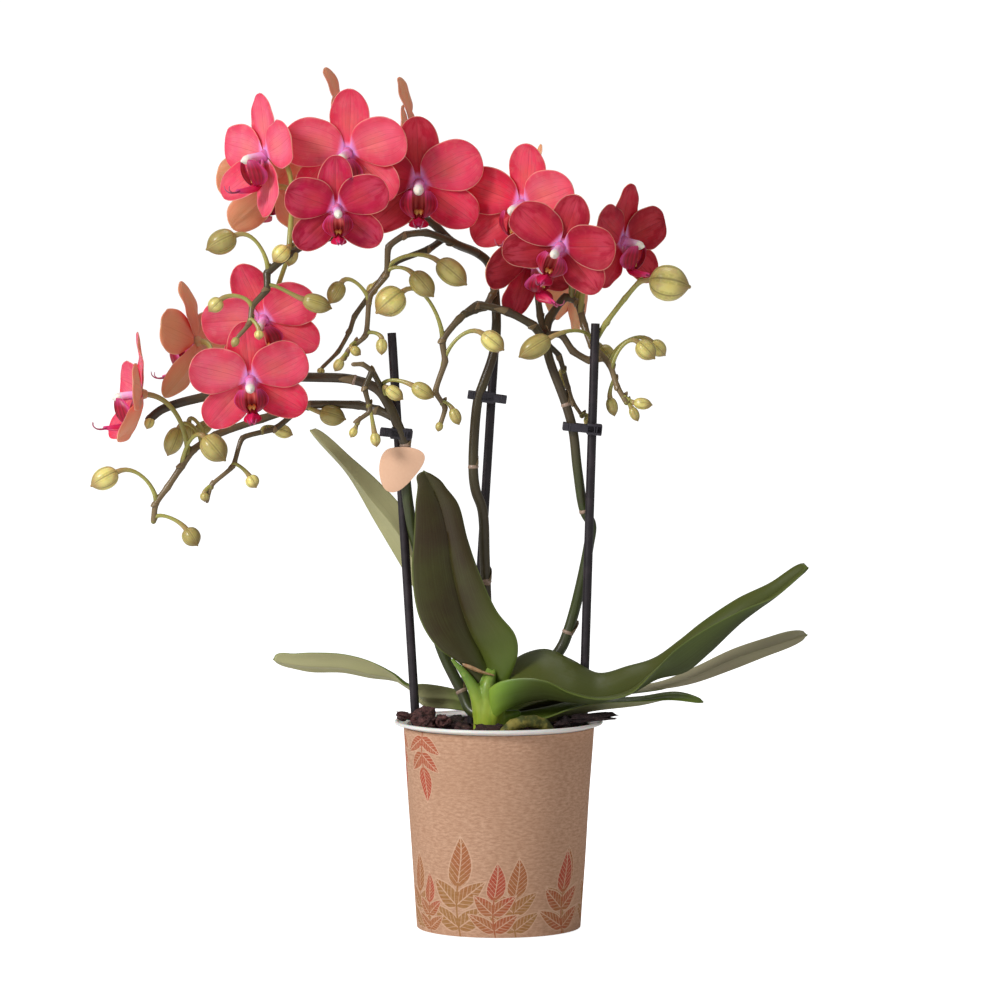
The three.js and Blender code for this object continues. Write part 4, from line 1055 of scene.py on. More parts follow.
# Each bud: where its stalk leaves the stem, its foot, its tip and its width
BUDS = {
    "spike_left": [
        [[-88, 0, 224], [-77, -2, 223], [-66, -3, 220], 9],
        [[-114, -8, 200], [-107, -9, 196], [-104, -10, 191], 6],
        [[-123, -10, 191], [-126, -11, 189], [-126, -11, 185], 4],
        [[-102, -1, 214], [-97, 3, 216], [-89, 4, 213], 6],
        [[-148, -10, 176.5], [-134, -12, 173.4], [-129, -14, 166.4], 8],
        [[-147, -10, 184.5], [-163, -14, 198], [-174, -16, 192], 9.6],
        [[-136, -8, 200.5], [-126, -14, 213], [-117, -16, 203], 11],
        [[-129, -4, 211], [-138, 6, 216], [-143, 8, 204], 7],
        [[-127, -4, 212], [-134, 9, 218], [-134, 11, 210], 6.5],
        [[-116, 0, 217], [-124, 6, 218], [-132, 8, 213], 6],
        [[-148, -5, 221], [-149, -5, 221], [-151, -6, 216], 4.4],
        [[-56, -19, 226], [-53, -20, 215], [-52, -21, 209], 4.5],
        [[-49, -9, 234], [-37, -15, 235], [-28, -17, 230], 7],
        [[-48, -7, 228], [-48, -13, 234], [-41, -14, 229], 6],
        [[-60, -20, 219], [-61, -20, 217], [-63, -21, 213], 3.6],
    ],
    "spike_middle": [
        [[-97, -32, 283], [-111, -34, 299], [-123, -36, 293], 10.5],
        [[-89, -29, 290], [-89, -35, 294], [-95, -36, 288], 7.5],
        [[-84, -26, 290], [-87, -27, 294], [-89, -26, 286], 6],
        [[-104, -36, 268], [-117, -37, 272], [-122, -38, 267], 6.5],
        [[-98, -32, 275], [-83, -30, 272], [-71, -28, 268], 7],
        [[-105, -38, 263], [-101, -40, 259], [-101, -41, 255], 4],
        [[-110, -40, 256], [-110, -40, 256], [-112, -41, 252], 3.4],
        [[-48, -10, 282], [-26, -12, 288], [-14, -13, 278], 10.5],
        [[-45, -10, 281], [-37, -14, 283], [-28, -16, 273], 9.5],
        [[-57, -10, 270], [-67, -12, 279], [-72, -13, 270], 7.5],
        [[-57, -10, 256], [-50, -12, 255], [-50, -13, 248], 5],
        [[-65, -10, 248], [-67, -12, 246], [-70, -12, 241], 4.5],
        [[-61, -10, 252], [-63, -14, 251], [-59, -15, 248], 4.2],
        [[-51, 0, 279], [-53, 2, 278], [-56, 2, 273], 5],
        [[-76, 0, 242], [-76, 0, 242], [-77, 0, 239], 3.4],
    ],
    "spike_right": [
        [[-24, -8, 254], [-41, -10, 275], [-52, -12, 266], 13],
        [[-23, -8, 242], [-7, -10, 257], [2, -11, 250], 8.5],
        [[-24, -8, 227], [-20, -10, 225], [-17, -11, 218], 5],
        [[-25, -8, 219], [-25, -8, 219], [-26, -9, 215], 3.4],
        [[64, -19, 280], [64, -19, 280], [81, -19, 277], 15.5],
        [[41, 8, 251], [22, -6, 255], [9, -8, 247], 9.5],
        [[50, 6, 241], [60, 4, 253], [67, 2, 246], 8.5],
        [[48, 6, 243], [66, 13, 253], [72, 14, 247], 7],
        [[42, 8, 249], [44, 15, 251], [49, 17, 244], 7.5],
        [[50, 5, 236], [48, 8, 229], [50, 8, 221], 5],
        [[54, 3, 229], [58, 2, 227], [66, 0, 226], 4.5],
        [[55, 2, 227], [57, 2, 225], [60, 2, 219], 4],
        [[36, 10, 221], [38, 12, 221], [41, 13, 215], 5],
        [[28, 10, 240], [27, 14, 240], [27, 14, 231], 6],
    ],
}
# Each flower: its middle, size, turn to the right, tilt up, roll, cup, where its stalk leaves the stem, how
# pale and how warm its red is (its paleness partly its own tone and partly painted light and shade), and the
# tepals off the pattern as [more angle, more cup, twist].
BLOOMS = {
    "bloom_01": [[-99.4, -12, 333], 1, -54, -4, 2, 0.1,
                 [-88, -28, 289], 1.0, 0.45, {0: [-5, 0.3, 0], 1: [-40, 0.1, 0], 3: [0, -0.1, 0]}],
    "bloom_02": [[-64, -20, 334], 1.05, -14, -8, 0, 0.14,
                 [-64, -6, 299], 0.9, 0.6, {2: [4, 0, 0], 3: [-9, 0, 0], 4: [-2, 0, 0]}],
    "bloom_03": [[-68, -44, 310], 0.87, 6, -8, 2, 0.14,
                 [-72, -14, 297], 0.26, 0.0, {2: [12, 0, 0], 4: [-8, 0, 0]}],
    "bloom_04": [[-34, -12, 321], 1.1, 0, -8, 0, 0.12,
                 [-37, 6, 306], 0.26, 0.55, {1: [8, 0, 0], 2: [14, 0, 0]}],
    "bloom_05": [[10, -13.4, 312], 1.03, -25, -8, -8, 0.14,
                 [12, -2, 310], 0.7, 0.7, {2: [12, 0, 0], 3: [-10, 0, 0]}],
    "bloom_06": [[26, -36, 294], 0.94, -14, -12, -24, 0.14,
                 [32, 18, 272], 0.16, 0.4, {0: [-14, 0, 0], 1: [18, 0, 0], 2: [12, 0, 0], 4: [-10, 0, 0]}],
    "bloom_07": [[53.5, 6, 296.5], 0.94, 50, -4, 1, 0.16,
                 [36, 15, 265], 0.2, 0.8, {0: [8, -0.1, 0], 2: [8, 0, 0], 4: [-12, 0, 0]}],
    "bloom_08": [[14, 3.6, 288.6], 1, 38, -22, 20, 0.1,
                 [3, 10, 283], 0.1, 0.5, {0: [20, 0, 0]}],
    "bloom_09": [[-100.5, -8, 263], 1, -12, -14, 16, 0.14,
                 [-85, -26, 291], 0.75, 0.5, {}],
    "bloom_10": [[-105.5, -25, 237.5], 1, 2, -12, 4, 0.12,
                 [-103, -2, 237], 0.74, 0.6, {1: [8, 0, 0], 2: [10, 0, 0], 4: [-8, 0, 0]}],
    "bloom_11": [[-131, 14, 253], 1, -108, -4, 4, 0.2,
                 [-125, -2, 230], 0.5, 0.9, {1: [-20, 0.25, 0], 4: [0, -0.6, 0]}],
    "bloom_12": [[-153, -10, 231], 1, -80, 0, 0, 0.2,
                 [-135, -7, 205], 0.85, 0.4, {0: [0, 0.3, 0], 1: [0, 0.3, 0], 3: [0, -0.15, 0]}],
    "bloom_13": [[-68.5, 20, 345], 1, -94, 0, 0, 0.02,
                 [-60, -3, 301], 0.7, 0.7, {1: [-30, 0.6, 0], 3: [0, 0.2, 22]}],
    "bloom_14": [[-38.2, 28, 341], 1, -95, 0, 0, 0.02,
                 [-45, 4, 305], 0.6, 0.7, {3: [0, 0.15, 20]}],
    "bloom_15": [[14, 30, 312], 1, 100, 0, 0, 0.14,
                 [13, 20, 298], 0.3, 0.6, {}],
    "bloom_16": [[35, 48, 283], 1, -117, -6, -50, 0.2,
                 [34, 18, 270], 0.3, 0.5, {}],
    "bloom_17": [[-97.5, 20, 320], 1, -145, 0, 0, 0.15,
                 [-78, -20, 294], 0.6, 0.7, {}],
}
# The flowers that hang from each spike
CARRIES = {
    "spike_left": [10, 11, 12],
    "spike_middle": [1, 2, 3, 4, 9, 13, 14, 17],
    "spike_right": [5, 6, 7, 8, 15, 16],
}


def stand(place, turn, tilt, roll):
    """Where a flower that is made flat, facing up, goes on the plant, in millimetres."""
    turned = Matrix.Rotation(math.radians(turn), 4, "Z") @ Matrix.Rotation(math.radians(90 - tilt), 4, "X")
    return Matrix.Translation(place) @ turned @ Matrix.Rotation(math.radians(roll), 4, "Z")


def nearest_on(lines, point):
    """The point on the stems that lies nearest, and how thick the stem is there."""
    best = None
    for thick, thin, line in lines:
        for n, (start, end) in enumerate(zip(line, line[1:])):
            start, way = Vector(start), Vector(end) - Vector(start)
            share = max(0.0, min(1.0, (Vector(point) - start).dot(way) / way.length_squared))
            near = start + way * share
            if best is None or (near - Vector(point)).length < (best[0] - Vector(point)).length:
                best = (near, thick + (thin - thick) * (n + share) / (len(line) - 1))
    return best


def way_along(lines, point):
    """The way the stem runs at a point on it."""
    for thick, thin, line in lines:
        for start, end in zip(line, line[1:]):
            start, end = Vector(start), Vector(end)
            if (point - start).length + (end - point).length - (end - start).length < 0.01:
                return (end - start).normalized()


def bend(knots, steps):
    """A curve from the first of four knots to the last, drawn towards the two between."""
    line = []
    for t in shares(steps):
        weights = ((1 - t) ** 3, 3 * t * (1 - t) ** 2, 3 * t * t * (1 - t), t**3)
        line.append(sum((Vector(k) * w for k, w in zip(knots, weights)), Vector((0, 0, 0))))
    return line


def hanging(start, end, aim, steps):
    """A stalk's line: it leaves upwards and arrives along its aim."""
    reach = (end - start).length
    return bend([start, start + Vector((0, 0, 0.35 * reach)), end - aim * (0.4 * reach), end], steps)


def bract(growth, place, way, radius, length, hue):
    """A small papery scale that clasps the stem at a joint and points along it."""
    side = way.orthogonal().normalized()
    other = way.cross(side)

    def scale_place(u, v):
        angle = math.radians(105 * (1 - u) ** 0.8 + 3) * v
        out = side * math.cos(angle) + other * math.sin(angle)
        return place + out * (radius * (1.03 + 0.28 * u)) + way * (length * u)

    skin(growth, sheet(scale_place, 7, 9), lambda u, v: 0.35, hue=hue)


def stalk(wood, green, line, thick, waist, sides, foot, scale):
    """A bare stalk, slimmer half way, with a small scale at its foot."""
    radii = [thick - waist * math.sin(math.pi * share) for share in shares(len(line) - 1)]
    tube(green, line, radii, sides, hue=1.0)
    way = line[1] - line[0]
    bract(wood, line[0] + way * foot, way.normalized(), thick - 0.05, scale, 0.68)


# How thick a stalk is at its ends, how much slimmer half way, and where its scale sits and how long it is
BUD_STALK = {"thick": 1.25, "waist": 0.45, "sides": 12, "foot": 0.4, "scale": 2.8}
FLOWER_STALK = {"thick": 1.35, "waist": 0.3, "sides": 14, "foot": 0.6, "scale": 3.4}
# How an arm swells at its knots, and a bud's width from its foot to its tip
KNOT_STEPS = 6
KNOT_SWELLING = (1.2, 1.08, 1.0, 1.0, 1.0, 1.07)
BUD_PROFILE = [0.12, 0.5, 0.7, 0.82, 0.9, 0.95, 0.98, 1.0, 1.0, 0.985, 0.95, 0.9, 0.82, 0.71, 0.56, 0.36]
BUD_PROFILE += [0.12]
STEM_SIDES = 20

stem_skin = Finish("stem_skin")
stem_hue = stem_skin.value("hue")
stem_grain = stem_skin.noise(230, 4.0, 0.6, (1, 1, 0.35))
stem_flush = stem_skin.noise(45, 3.0, 0.6)
low_colour = stem_grain.mix(linear(74, 84, 40), linear(54, 60, 32))
arm_colour = stem_grain.mix(linear(92, 80, 50), linear(54, 46, 34))
arm_colour = stem_flush.ramp(0.45, 0.65, 0.0, 0.6).mix(arm_colour, linear(70, 54, 44))
stem_colour = layered(
    stem_flush.ramp(0.5, 0.68, 0.0, 0.6).mix(low_colour, linear(64, 40, 46)),
    (stem_hue.ramp(0.05, 0.35), arm_colour),
    (stem_hue.ramp(0.4, 0.62), stem_grain.mix(linear(154, 132, 92), linear(106, 84, 60))),
    (stem_hue.ramp(0.7, 0.95), stem_grain.mix(linear(196, 166, 148), linear(138, 116, 96))),
)
stem_skin.bump(stem_grain, 0.2, 0.0005)
stem_paint = stem_skin.settle(stem_colour, stem_grain.ramp(0.3, 0.7, 0.3, 0.44))

bud_skin = Finish("bud_skin")
bud_rib, bud_hue, bud_along = bud_skin.value("rib"), bud_skin.value("hue"), bud_skin.value("along")
bud_mottle = bud_skin.noise(150, 3.0, 0.6)
bud_fine = bud_skin.noise(800, 2.0, 0.5)
bud_stripe = (bud_rib.step("ARCCOSINE") * 1.5).step("SINE").ramp(0.2, 0.9, 0.0, 0.34)
stalk_colour = layered(
    bud_mottle.mix(linear(150, 150, 70), linear(190, 184, 106)),
    (bud_along.ramp(0.62, 1.0, 0.0, 0.55), linear(184, 132, 100)),
    (bud_along.ramp(0.22, 0.0, 0.0, 0.6), linear(112, 92, 54)),
)
bud_colour = layered(
    bud_mottle.mix(linear(248, 224, 102), linear(255, 250, 176)),
    (bud_mottle.ramp(0.5, 0.66, 0.0, 0.4), linear(216, 166, 104)),
    (bud_along.ramp(0.1, 0.0, 0.0, 0.5), linear(170, 160, 92)),
    (bud_along.ramp(0.55, 1.0, 0.0, 0.75), linear(146, 96, 62)),
    (bud_stripe * bud_fine.ramp(0.3, 0.6), linear(164, 156, 66)),
    (bud_hue * 3.0, linear(124, 104, 52)),
    (bud_rib.ramp(0.35, 0.8) * 0.3, linear(228, 214, 138)),
    (bud_rib.ramp(0.7, 0.99) * 0.6, linear(118, 92, 44)),
    (bud_hue.ramp(0.3, 0.7), stalk_colour),
)
bud_skin.bump(bud_fine, 0.06, 0.0003)
bud_paint = bud_skin.settle(bud_colour, 0.3, Subsurface_Weight=0.1, Subsurface_Scale=0.002)

for name, limbs in STEMS.items():
    wood = Growth("hue", "along", "across", "back", "rib")
    green = Growth("hue", "along", "across", "back", "rib")
    for number, (thick, thin, points) in enumerate(limbs):
        line = smooth(points, KNOT_STEPS, 1.0 if number == 0 else 0.55)
        last = len(line) - 1
        radii, hues = [], []
        for n, point in enumerate(line):
            radius, hue = thick + (thin - thick) * n / last, 0.38 + 0.24 * n / last
            if number == 0:
                hue = min(0.36, max(0.3 if name == "spike_middle" else 0.0, (point.z - 180) / 100))
            elif 0 < n < last:
                radius *= KNOT_SWELLING[n % KNOT_STEPS]
            radii.append(radius)
            hues.append(hue)
        growth = wood
        if number == BUD_LIMB.get(name):
            growth, hues = green, [1.0] * len(line)
        rings = hues[:1] * 2 + hues + hues[-1:] * 2
        point_hues = [hue for hue in rings for side in range(STEM_SIDES)] + [hues[0], hues[-1]]
        tube(growth, line, radii, STEM_SIDES, hue=point_hues)
        if number:
            for n in range(KNOT_STEPS, last, 2 * KNOT_STEPS):
                way = (line[n + 1] - line[n - 1]).normalized()
                bract(growth, line[n] - way * 0.4, way, radii[n] * 0.9, 2.4, 0.66)
    for joint in JOINTS[name]:
        middle, radius = nearest_on(limbs, joint)
        way = way_along(limbs, middle)
        ring = [middle + way * step for step, lift in JOINT_RING]
        tube(wood, ring, [radius + lift for step, lift in JOINT_RING], STEM_SIDES, hue=1.0)
        bract(wood, middle + way * 0.3, way, radius, 6.0, 0.72)
    bud_chance = random.Random(len(BUDS[name]))
    for origin, foot, tip, width in BUDS[name]:
        start, radius = nearest_on(limbs, origin)
        foot, tip = Vector(foot), Vector(tip)
        aim = (tip - foot).normalized()
        if (foot - start).length > 2:
            stalk(wood, green, hanging(start, foot + aim * 0.4, aim, 12), **BUD_STALK)
        plump = 0.5 * max(width, 0.62 * (tip - foot).length)
        ripe = bud_chance.uniform(0.0, 0.22) if width < 12 else 0.03
        line = straight(foot, tip, len(BUD_PROFILE) - 1)
        tube(green, line, [plump * r for r in BUD_PROFILE], sides=36, ribs=6, flute=0.07, hue=ripe)
    for number in CARRIES[name]:
        place, size, turn, tilt, roll, cup, origin, *rest = BLOOMS["bloom_%02d" % number]
        facing = stand(place, turn, tilt, roll).to_3x3() @ Vector((0, 0, 1))
        start, radius = nearest_on(limbs, origin)
        stalk(wood, green, hanging(start, Vector(place) - facing * 0.7, facing, 16), **FLOWER_STALK)
    take_part(wood.piece(name + "_stems", stem_paint), "stem_green", name)
    take_part(green.piece(name + "_buds", bud_paint), "stem_green", name)


# Clips
# A moulded plastic clip holds each spike to its stake: two plates joined at their ends close round
# both, with a taller sleeve at the stake and two small grip ridges at each end in front.
# Where each clip is, its tilt and length, and where along it the sleeve at the stake is and how wide
CLIPS = {
    "clip_left": [[-44, -4.5, 214], 6, 14, 2.2, 9.0],
    "clip_middle": [[-5, 12, 229], 8, 17, -1.0, 8.5],
    "clip_right": [[36, 2, 216], 6, 17, 5.2, 6.5],
}
CLIP_DEPTH = 11

moulded = Finish("clip_plastic")
clip_grain = moulded.noise(700, 3.0, 0.6)
moulded.bump(clip_grain, 0.2, 0.0003)
clip_plastic = moulded.settle(
    clip_grain.mix(linear(40, 36, 44), linear(58, 54, 62)), clip_grain.ramp(0.3, 0.7, 0.4, 0.55)
)


def block(size, place):
    """A plastic block with softened edges."""
    bpy.ops.object.select_all(action="DESELECT")
    bpy.ops.mesh.primitive_cube_add(size=1, location=(0, 0, 0))
    made = bpy.context.object
    stretch = Matrix.Diagonal([side * MM for side in size] + [1])
    made.data.transform(Matrix.Translation(Vector(place) * MM) @ stretch)
    applied(made, "BEVEL", "soft_edges", width=0.4 * MM, segments=3)
    return made


for name, (place, tilt, length, sleeve_at, sleeve_width) in CLIPS.items():
    half, end = CLIP_DEPTH / 2, length / 2
    blocks = [block((length, 1.6, 3.5), (0, side * (half - 0.8), 0)) for side in (-1, 1)]
    blocks += [block((1.7, CLIP_DEPTH - 1, 3.3), (side * (end - 0.85), 0, 0)) for side in (-1, 1)]
    blocks += [block((sleeve_width, 2.0, 4.8), (sleeve_at, side * (half - 1.0), 0)) for side in (-1, 1)]
    grips = [side * (end - 2.2 - n) for side in (-1, 1) for n in range(2)]
    blocks += [block((0.5, 0.4, 3.0), (grip, -half, 0)) for grip in grips]
    select_only(blocks[0])
    for other in blocks[1:]:
        other.select_set(True)
    bpy.ops.object.join()
    clip = bpy.context.object
    clip.name = name + "_plates"
    clip.data.transform(Matrix.Translation(Vector(place) * MM) @ Matrix.Rotation(math.radians(tilt), 4, "Y"))
    finish_mesh(clip, clip_plastic, 40, 0.000001)
    take_part(clip, "clip_black", name)


# Tag
# A rounded three-cornered card, cut from thick peach board, that hangs in front of the left spike.
TAG_CORNERS = [
    [(-5, 9.4), (0, 10.4), (7, 10.2), (9.4, 7)],
    [(9.4, 7), (11.4, 4), (7, -1), (3.4, -5)],
    [(3.4, -5), (0, -8.6), (-4, -11.4), (-7.2, -8.2)],
    [(-7.2, -8.2), (-10.4, -5), (-11.4, 7.8), (-5, 9.4)],
]
TAG_PLACE = (-41.5, -10.9, 198.5)
TAG_THICKNESS = 0.8

tag_outline = []
for corner in TAG_CORNERS:
    tag_outline += bend([(x, 0, z) for x, z in corner], 16)[:-1]
tag_mesh = bpy.data.meshes.new("tag_card")
tag_points = [(Vector(TAG_PLACE) + point) * MM for point in tag_outline]
tag_mesh.from_pydata(tag_points, [], [list(range(len(tag_points)))])
tag = set_out("tag_card", tag_mesh)
applied(tag, "SOLIDIFY", "board", thickness=TAG_THICKNESS * MM, offset=0)
applied(tag, "BEVEL", "cut_edge", width=0.12 * MM, segments=2, angle_limit=math.radians(50))

card = Finish("tag_board")
card_fibres = card.noise(900, 4.0, 0.7)
card.bump(card_fibres, 0.15, 0.0002)
tag_board = card.settle(
    card_fibres.mix(linear(240, 190, 156), linear(248, 204, 172)), 0.8, Specular_IOR_Level=0.25
)
finish_mesh(tag, tag_board, 40, 0.000001)
take_part(tag, "tag_card", "tag")


# Tepals
# Each flower has three narrower sepals behind two broad petals, all thin and waxy: coral to crimson
# with fine darker veins and a cream rim in front, dull orange-peach behind.
TEPAL_LENGTH = 26.5
SEPAL_WIDTH = 16.5
PETAL_WIDTH = 20
# The angle of each, its width, how much more it cups, how far forward it sits, and 1 for a petal
TEPALS = [
    [-138, SEPAL_WIDTH, 0, -0.7, 0.0],
    [-42, SEPAL_WIDTH, 0, -0.7, 0.0],
    [14, PETAL_WIDTH, 0, 0.7, 1.0],
    [92, SEPAL_WIDTH, 0.04, -0.7, 0.0],
    [166, PETAL_WIDTH, 0, 0.7, 1.0],
]
# Where each kind of edge is widest, how square its end is, and how slowly it leaves the claw
TEPAL_EDGES = {
    "petal top": (0.47, 2.5, 0.62),
    "petal foot": (0.66, 2.4, 0.9),
    "sepal outer": (0.66, 2.3, 0.84),
    "sepal inner": (0.5, 1.8, 0.84),
    "upright sepal": (0.54, 1.9, 0.88),
}
TEPAL_ROWS = 32
TEPAL_COLUMNS = 23
# Tepals that are paler or deeper than the rest of their flower, partly in their own tone and partly as
# painted light and shade
TEPAL_TONE_AND_PAINTED_LIGHT = {
    "bloom_01": {0: -0.3, 1: -0.05, 3: -0.1},
    "bloom_02": {1: -0.2, 0: -0.25, 3: -0.15},
    "bloom_03": {0: -0.1, 3: 0.06},
    "bloom_04": {1: 0.2, 2: 0.42, 3: -0.08, 4: -0.08, 0: -0.1},
    "bloom_05": {0: -0.36, 1: -0.35, 4: -0.38, 2: 0.24},
    "bloom_06": {3: -0.06, 2: -0.04, 0: -0.15},
    "bloom_07": {4: 0.08, 3: 0.05},
    "bloom_09": {3: -0.06, 4: 0.25},
    "bloom_10": {3: -0.16, 4: 0.16, 1: -0.3},
}


def tepal_width(along, edge):
    """Share of the half width at a distance from the middle: a narrow claw, then a round blade."""
    widest, square, slow = TEPAL_EDGES[edge]
    if along > widest:
        return math.sqrt(max(0.0, 1 - ((along - widest) / (1 - widest)) ** square))
    claw = max(0.0, (along - 0.08) / (widest - 0.08))
    return 0.14 + 0.86 * math.sin(math.pi / 2 * claw**slow)


def tepal_grid(shape, cup, twist, size, chance):
    """The middle of one tepal as a grid, its claw at the flower's middle and its face up."""
    angle, width, forward, petal = shape
    length = TEPAL_LENGTH * size
    wave = [chance.uniform(0, 6.28) for n in range(4)]
    curl = chance.uniform(-0.8, 0.4)
    lean = chance.uniform(-0.7, 0.7)
    hollow = chance.uniform(0.04, 0.15)
    spin = Matrix.Rotation(math.radians(angle), 3, "Z")
    edges = ("petal top", "petal foot") if petal else ("sepal outer", "sepal inner")
    if 80 < angle < 110:
        edges = ("upright sepal", "upright sepal")
    elif math.cos(math.radians(angle)) < 0:
        edges = edges[::-1]
    grid = []
    for share in shares(TEPAL_ROWS):
        along = 0.055 + 0.945 * (1 - (1 - share) ** 1.5)
        ending = min(1.0, (1 - along) * 9)
        halves = [width / 2 * size * max(0.03, tepal_width(along, edge)) * 1.04 for edge in edges]
        lift = forward * min(1.0, along * 4) + cup * length * along * along
        lift += curl * max(0.0, along - 0.7) ** 2 * 9
        turn = math.radians(-twist * max(0.0, min(1.0, (along - 0.4) / 0.5)))
        row = []
        for across in acrosses(TEPAL_COLUMNS):
            half = halves[0] if across < 0 else halves[1]
            # The edge ruffles in two waves and the whole blade in one; a groove runs along its middle
            ruffle = 0.5 * abs(across) ** 3 * math.sin(8 * along + wave[0] + (2.3 if across > 0 else 0))
            ruffle += 0.28 * across**2 * math.sin(17 * along + wave[3] + (1.1 if across > 0 else 0))
            ruffle += 0.2 * math.sin(4.5 * across + 6 * along + wave[1])
            rise = hollow * half * across**2 + ruffle * min(1.0, 2 * along) * ending
            rise -= 0.4 * math.exp(-((across / 0.07) ** 2)) * math.sin(math.pi * along)
            ripple = math.sin(9 * along + wave[2] + (2 if across > 0 else 0)) * along
            side = -half * across * (1 + 0.03 * ripple)
            far = length * along + 0.3 * math.sin(6 * across + wave[2]) * along**3 * ending
            level = side * math.sin(turn) + rise * math.cos(turn)
            flat = side * math.cos(turn) - rise * math.sin(turn) + lean * along * along
            row.append(spin @ Vector((far, flat, lift + level)))
        grid.append(row)
    return grid


petal_skin = Finish("tepal_skin")
tepal_along, tepal_across = petal_skin.value("along"), petal_skin.value("across")
pale, warm_share = petal_skin.value("pale"), petal_skin.value("warm")
from_vein = abs(tepal_across)
drift = petal_skin.noise(2.4, 3.0, 0.55, place=flat_place(tepal_along, tepal_across))
broken = petal_skin.noise(300, 3.0, 0.6)
clouds = petal_skin.noise(70, 3.0, 0.6)
fan = (drift - 0.5) * 0.2 + tepal_across


def vein_lines(count, thin):
    """Thin dark lines that run from the claw and spread with the blade."""
    return abs((fan * count).step("SINE")).ramp(thin, 0.0)


veins = vein_lines(16, 0.24).most(vein_lines(43, 0.4) * tepal_along.ramp(0.15, 0.5, 0.1, 0.55))
veins = veins * broken.ramp(0.32, 0.62, 0.35, 1.0)
veins = veins.most(from_vein.ramp(0.035, 0.01, 0.0, 0.6)) * from_vein.ramp(0.95, 0.6, 0.15, 1.0)
deep = warm_share.mix(linear(150, 8, 50), linear(168, 12, 14))
light = warm_share.mix(linear(252, 110, 152), linear(255, 114, 126))
vivid = warm_share.mix(linear(242, 40, 102), linear(255, 48, 84))
deeper = pale.mix(linear(116, 3, 8), linear(236, 36, 78))
# A dusky rose haze over the outer blade, partly the tepal's own tone and partly a painted sheen.
haze_and_sheen_colour = warm_share.mix(linear(214, 86, 114), linear(210, 64, 62))
haze_and_sheen = drift.ramp(0.4, 0.56) * tepal_along.ramp(0.2, 0.6)
margin = from_vein.ramp(0.4, 1.0).most(tepal_along.ramp(0.62, 1.0))
heart = tepal_along.ramp(0.08, 0.3) * tepal_along.ramp(0.6, 0.3) * from_vein.ramp(0.7, 0.1, 0.0, 0.4)
tepal_edge = from_vein.ramp(0.965, 0.992).most(tepal_along.ramp(0.955, 0.99))
red = layered(
    # Paleness is partly each flower's own tone and partly painted light and shade.
    pale.ramp(0.0, 0.5).mix(deep, vivid),
    (pale.ramp(0.5, 1.0), light),
    (clouds.ramp(0.38, 0.68, 0.0, 0.4), deeper),
    # Partly a painted sheen: the dusky rose haze.
    (haze_and_sheen * 0.5, pale.mix(haze_and_sheen_colour, linear(255, 108, 132))),
    (margin * 0.55, deeper),
    (heart, pale.mix(linear(196, 46, 52), linear(255, 150, 128))),
    (broken.ramp(0.46, 0.7, 0.0, 0.3), pale.mix(linear(188, 44, 58), linear(255, 146, 150))),
    (veins * 0.42, pale.mix(linear(92, 2, 10), linear(190, 22, 56))),
    (tepal_along.ramp(0.095, 0.02, 0.0, 0.95), linear(255, 172, 238)),
    (tepal_edge * 0.48, linear(250, 182, 160)),
)
peach = layered(
    clouds.mix(linear(255, 168, 112), linear(255, 208, 154)),
    # Partly painted light: paler flowers also get lighter, pinker backs.
    (pale * 0.5, linear(255, 160, 146)),
    (from_vein.ramp(0.4, 0.95, 0.0, 0.3), linear(250, 112, 100)),
    (tepal_along.ramp(0.55, 0.1, 0.0, 0.4), linear(252, 112, 122)),
    (veins * 0.22, linear(184, 86, 62)),
    (tepal_edge * 0.5, linear(250, 210, 176)),
)
petal_skin.bump(clouds - veins * 0.6, 0.16, 0.0005)
tepal_skin = petal_skin.settle(
    petal_skin.value("back").ramp(0.45, 0.75).mix(red, peach),
    clouds.ramp(0.3, 0.7, 0.42, 0.56),
    Subsurface_Weight=0.6,
    Subsurface_Scale=0.002,
    Subsurface_Radius=(1.0, 0.4, 0.3),
    Specular_IOR_Level=0.2,
)

for number, (name, bloom) in enumerate(BLOOMS.items()):
    place, size, turn, tilt, roll, cup, origin, tone_and_light_share, warmth, bent = bloom
    chance = random.Random(100 + number)
    pose = stand(place, turn, tilt, roll)
    flower = Growth("along", "across", "back", "pale", "warm")
    for index, (angle, width, extra, forward, petal) in enumerate(TEPALS):
        more_angle, more_cup, twist = bent.get(index, (0, 0, 0))
        shape = (angle + more_angle, width, forward, petal)
        grid = tepal_grid(shape, cup + extra + more_cup, twist, size, chance)
        grid = [[pose @ p for p in row] for row in grid]
        # A tepal's paleness is partly its own tone and partly painted light and shade.
        shade = tone_and_light_share + TEPAL_TONE_AND_PAINTED_LIGHT.get(name, {}).get(index, 0.0) + chance.uniform(-0.07, 0.07)
        shade = min(1.0, max(0.0, shade))
        skin(flower, grid, lambda u, v: 0.75 - 0.3 * abs(v), pale=shade, warm=warmth)
    for low, high, back in ((-0.9, -0.3, 1.0), (-0.2, 0.6, 0.0)):
        first = len(flower.points)
        tube(flower, [pose @ Vector((0, 0, z)) for z in (low, high)], [2.3, 2.4], 20, pale=0.6, back=back)
        flower.values["along"][first:] = [0.06 + 0.4 * back] * (len(flower.points) - first)
    take_part(flower.piece(name + "_petals", tepal_skin), "petal_red", name + "_tepals")


# Lips
# The small third petal and the column above it: a lilac column under a round cream cap, two crimson
# side lobes cupped round a striped throat, an orange callus, and a pointed lobe with two tendrils.
LIP_SCALE = 1.1
# How red the throat is from its middle line out to its side
THROAT_STRIPES = [1.0, 0.7, 0.12, 1.0, 0.5, 1.0]


class Painted(Growth):
    """A growth whose points carry their own colour."""

    def colour(self, choose):
        """Colours what was added since the last call; choose gets how far along, across and the place."""
        start = len(self.colours)
        for n in range(start, len(self.points)):
            along, across = self.values["along"][n], self.values["across"][n]
            self.colours.append(choose(along, across, self.points[n] / MM))


def between(first, second, share):
    share = max(0.0, min(1.0, share))
    return [a + (b - a) * share for a, b in zip(first, second)]


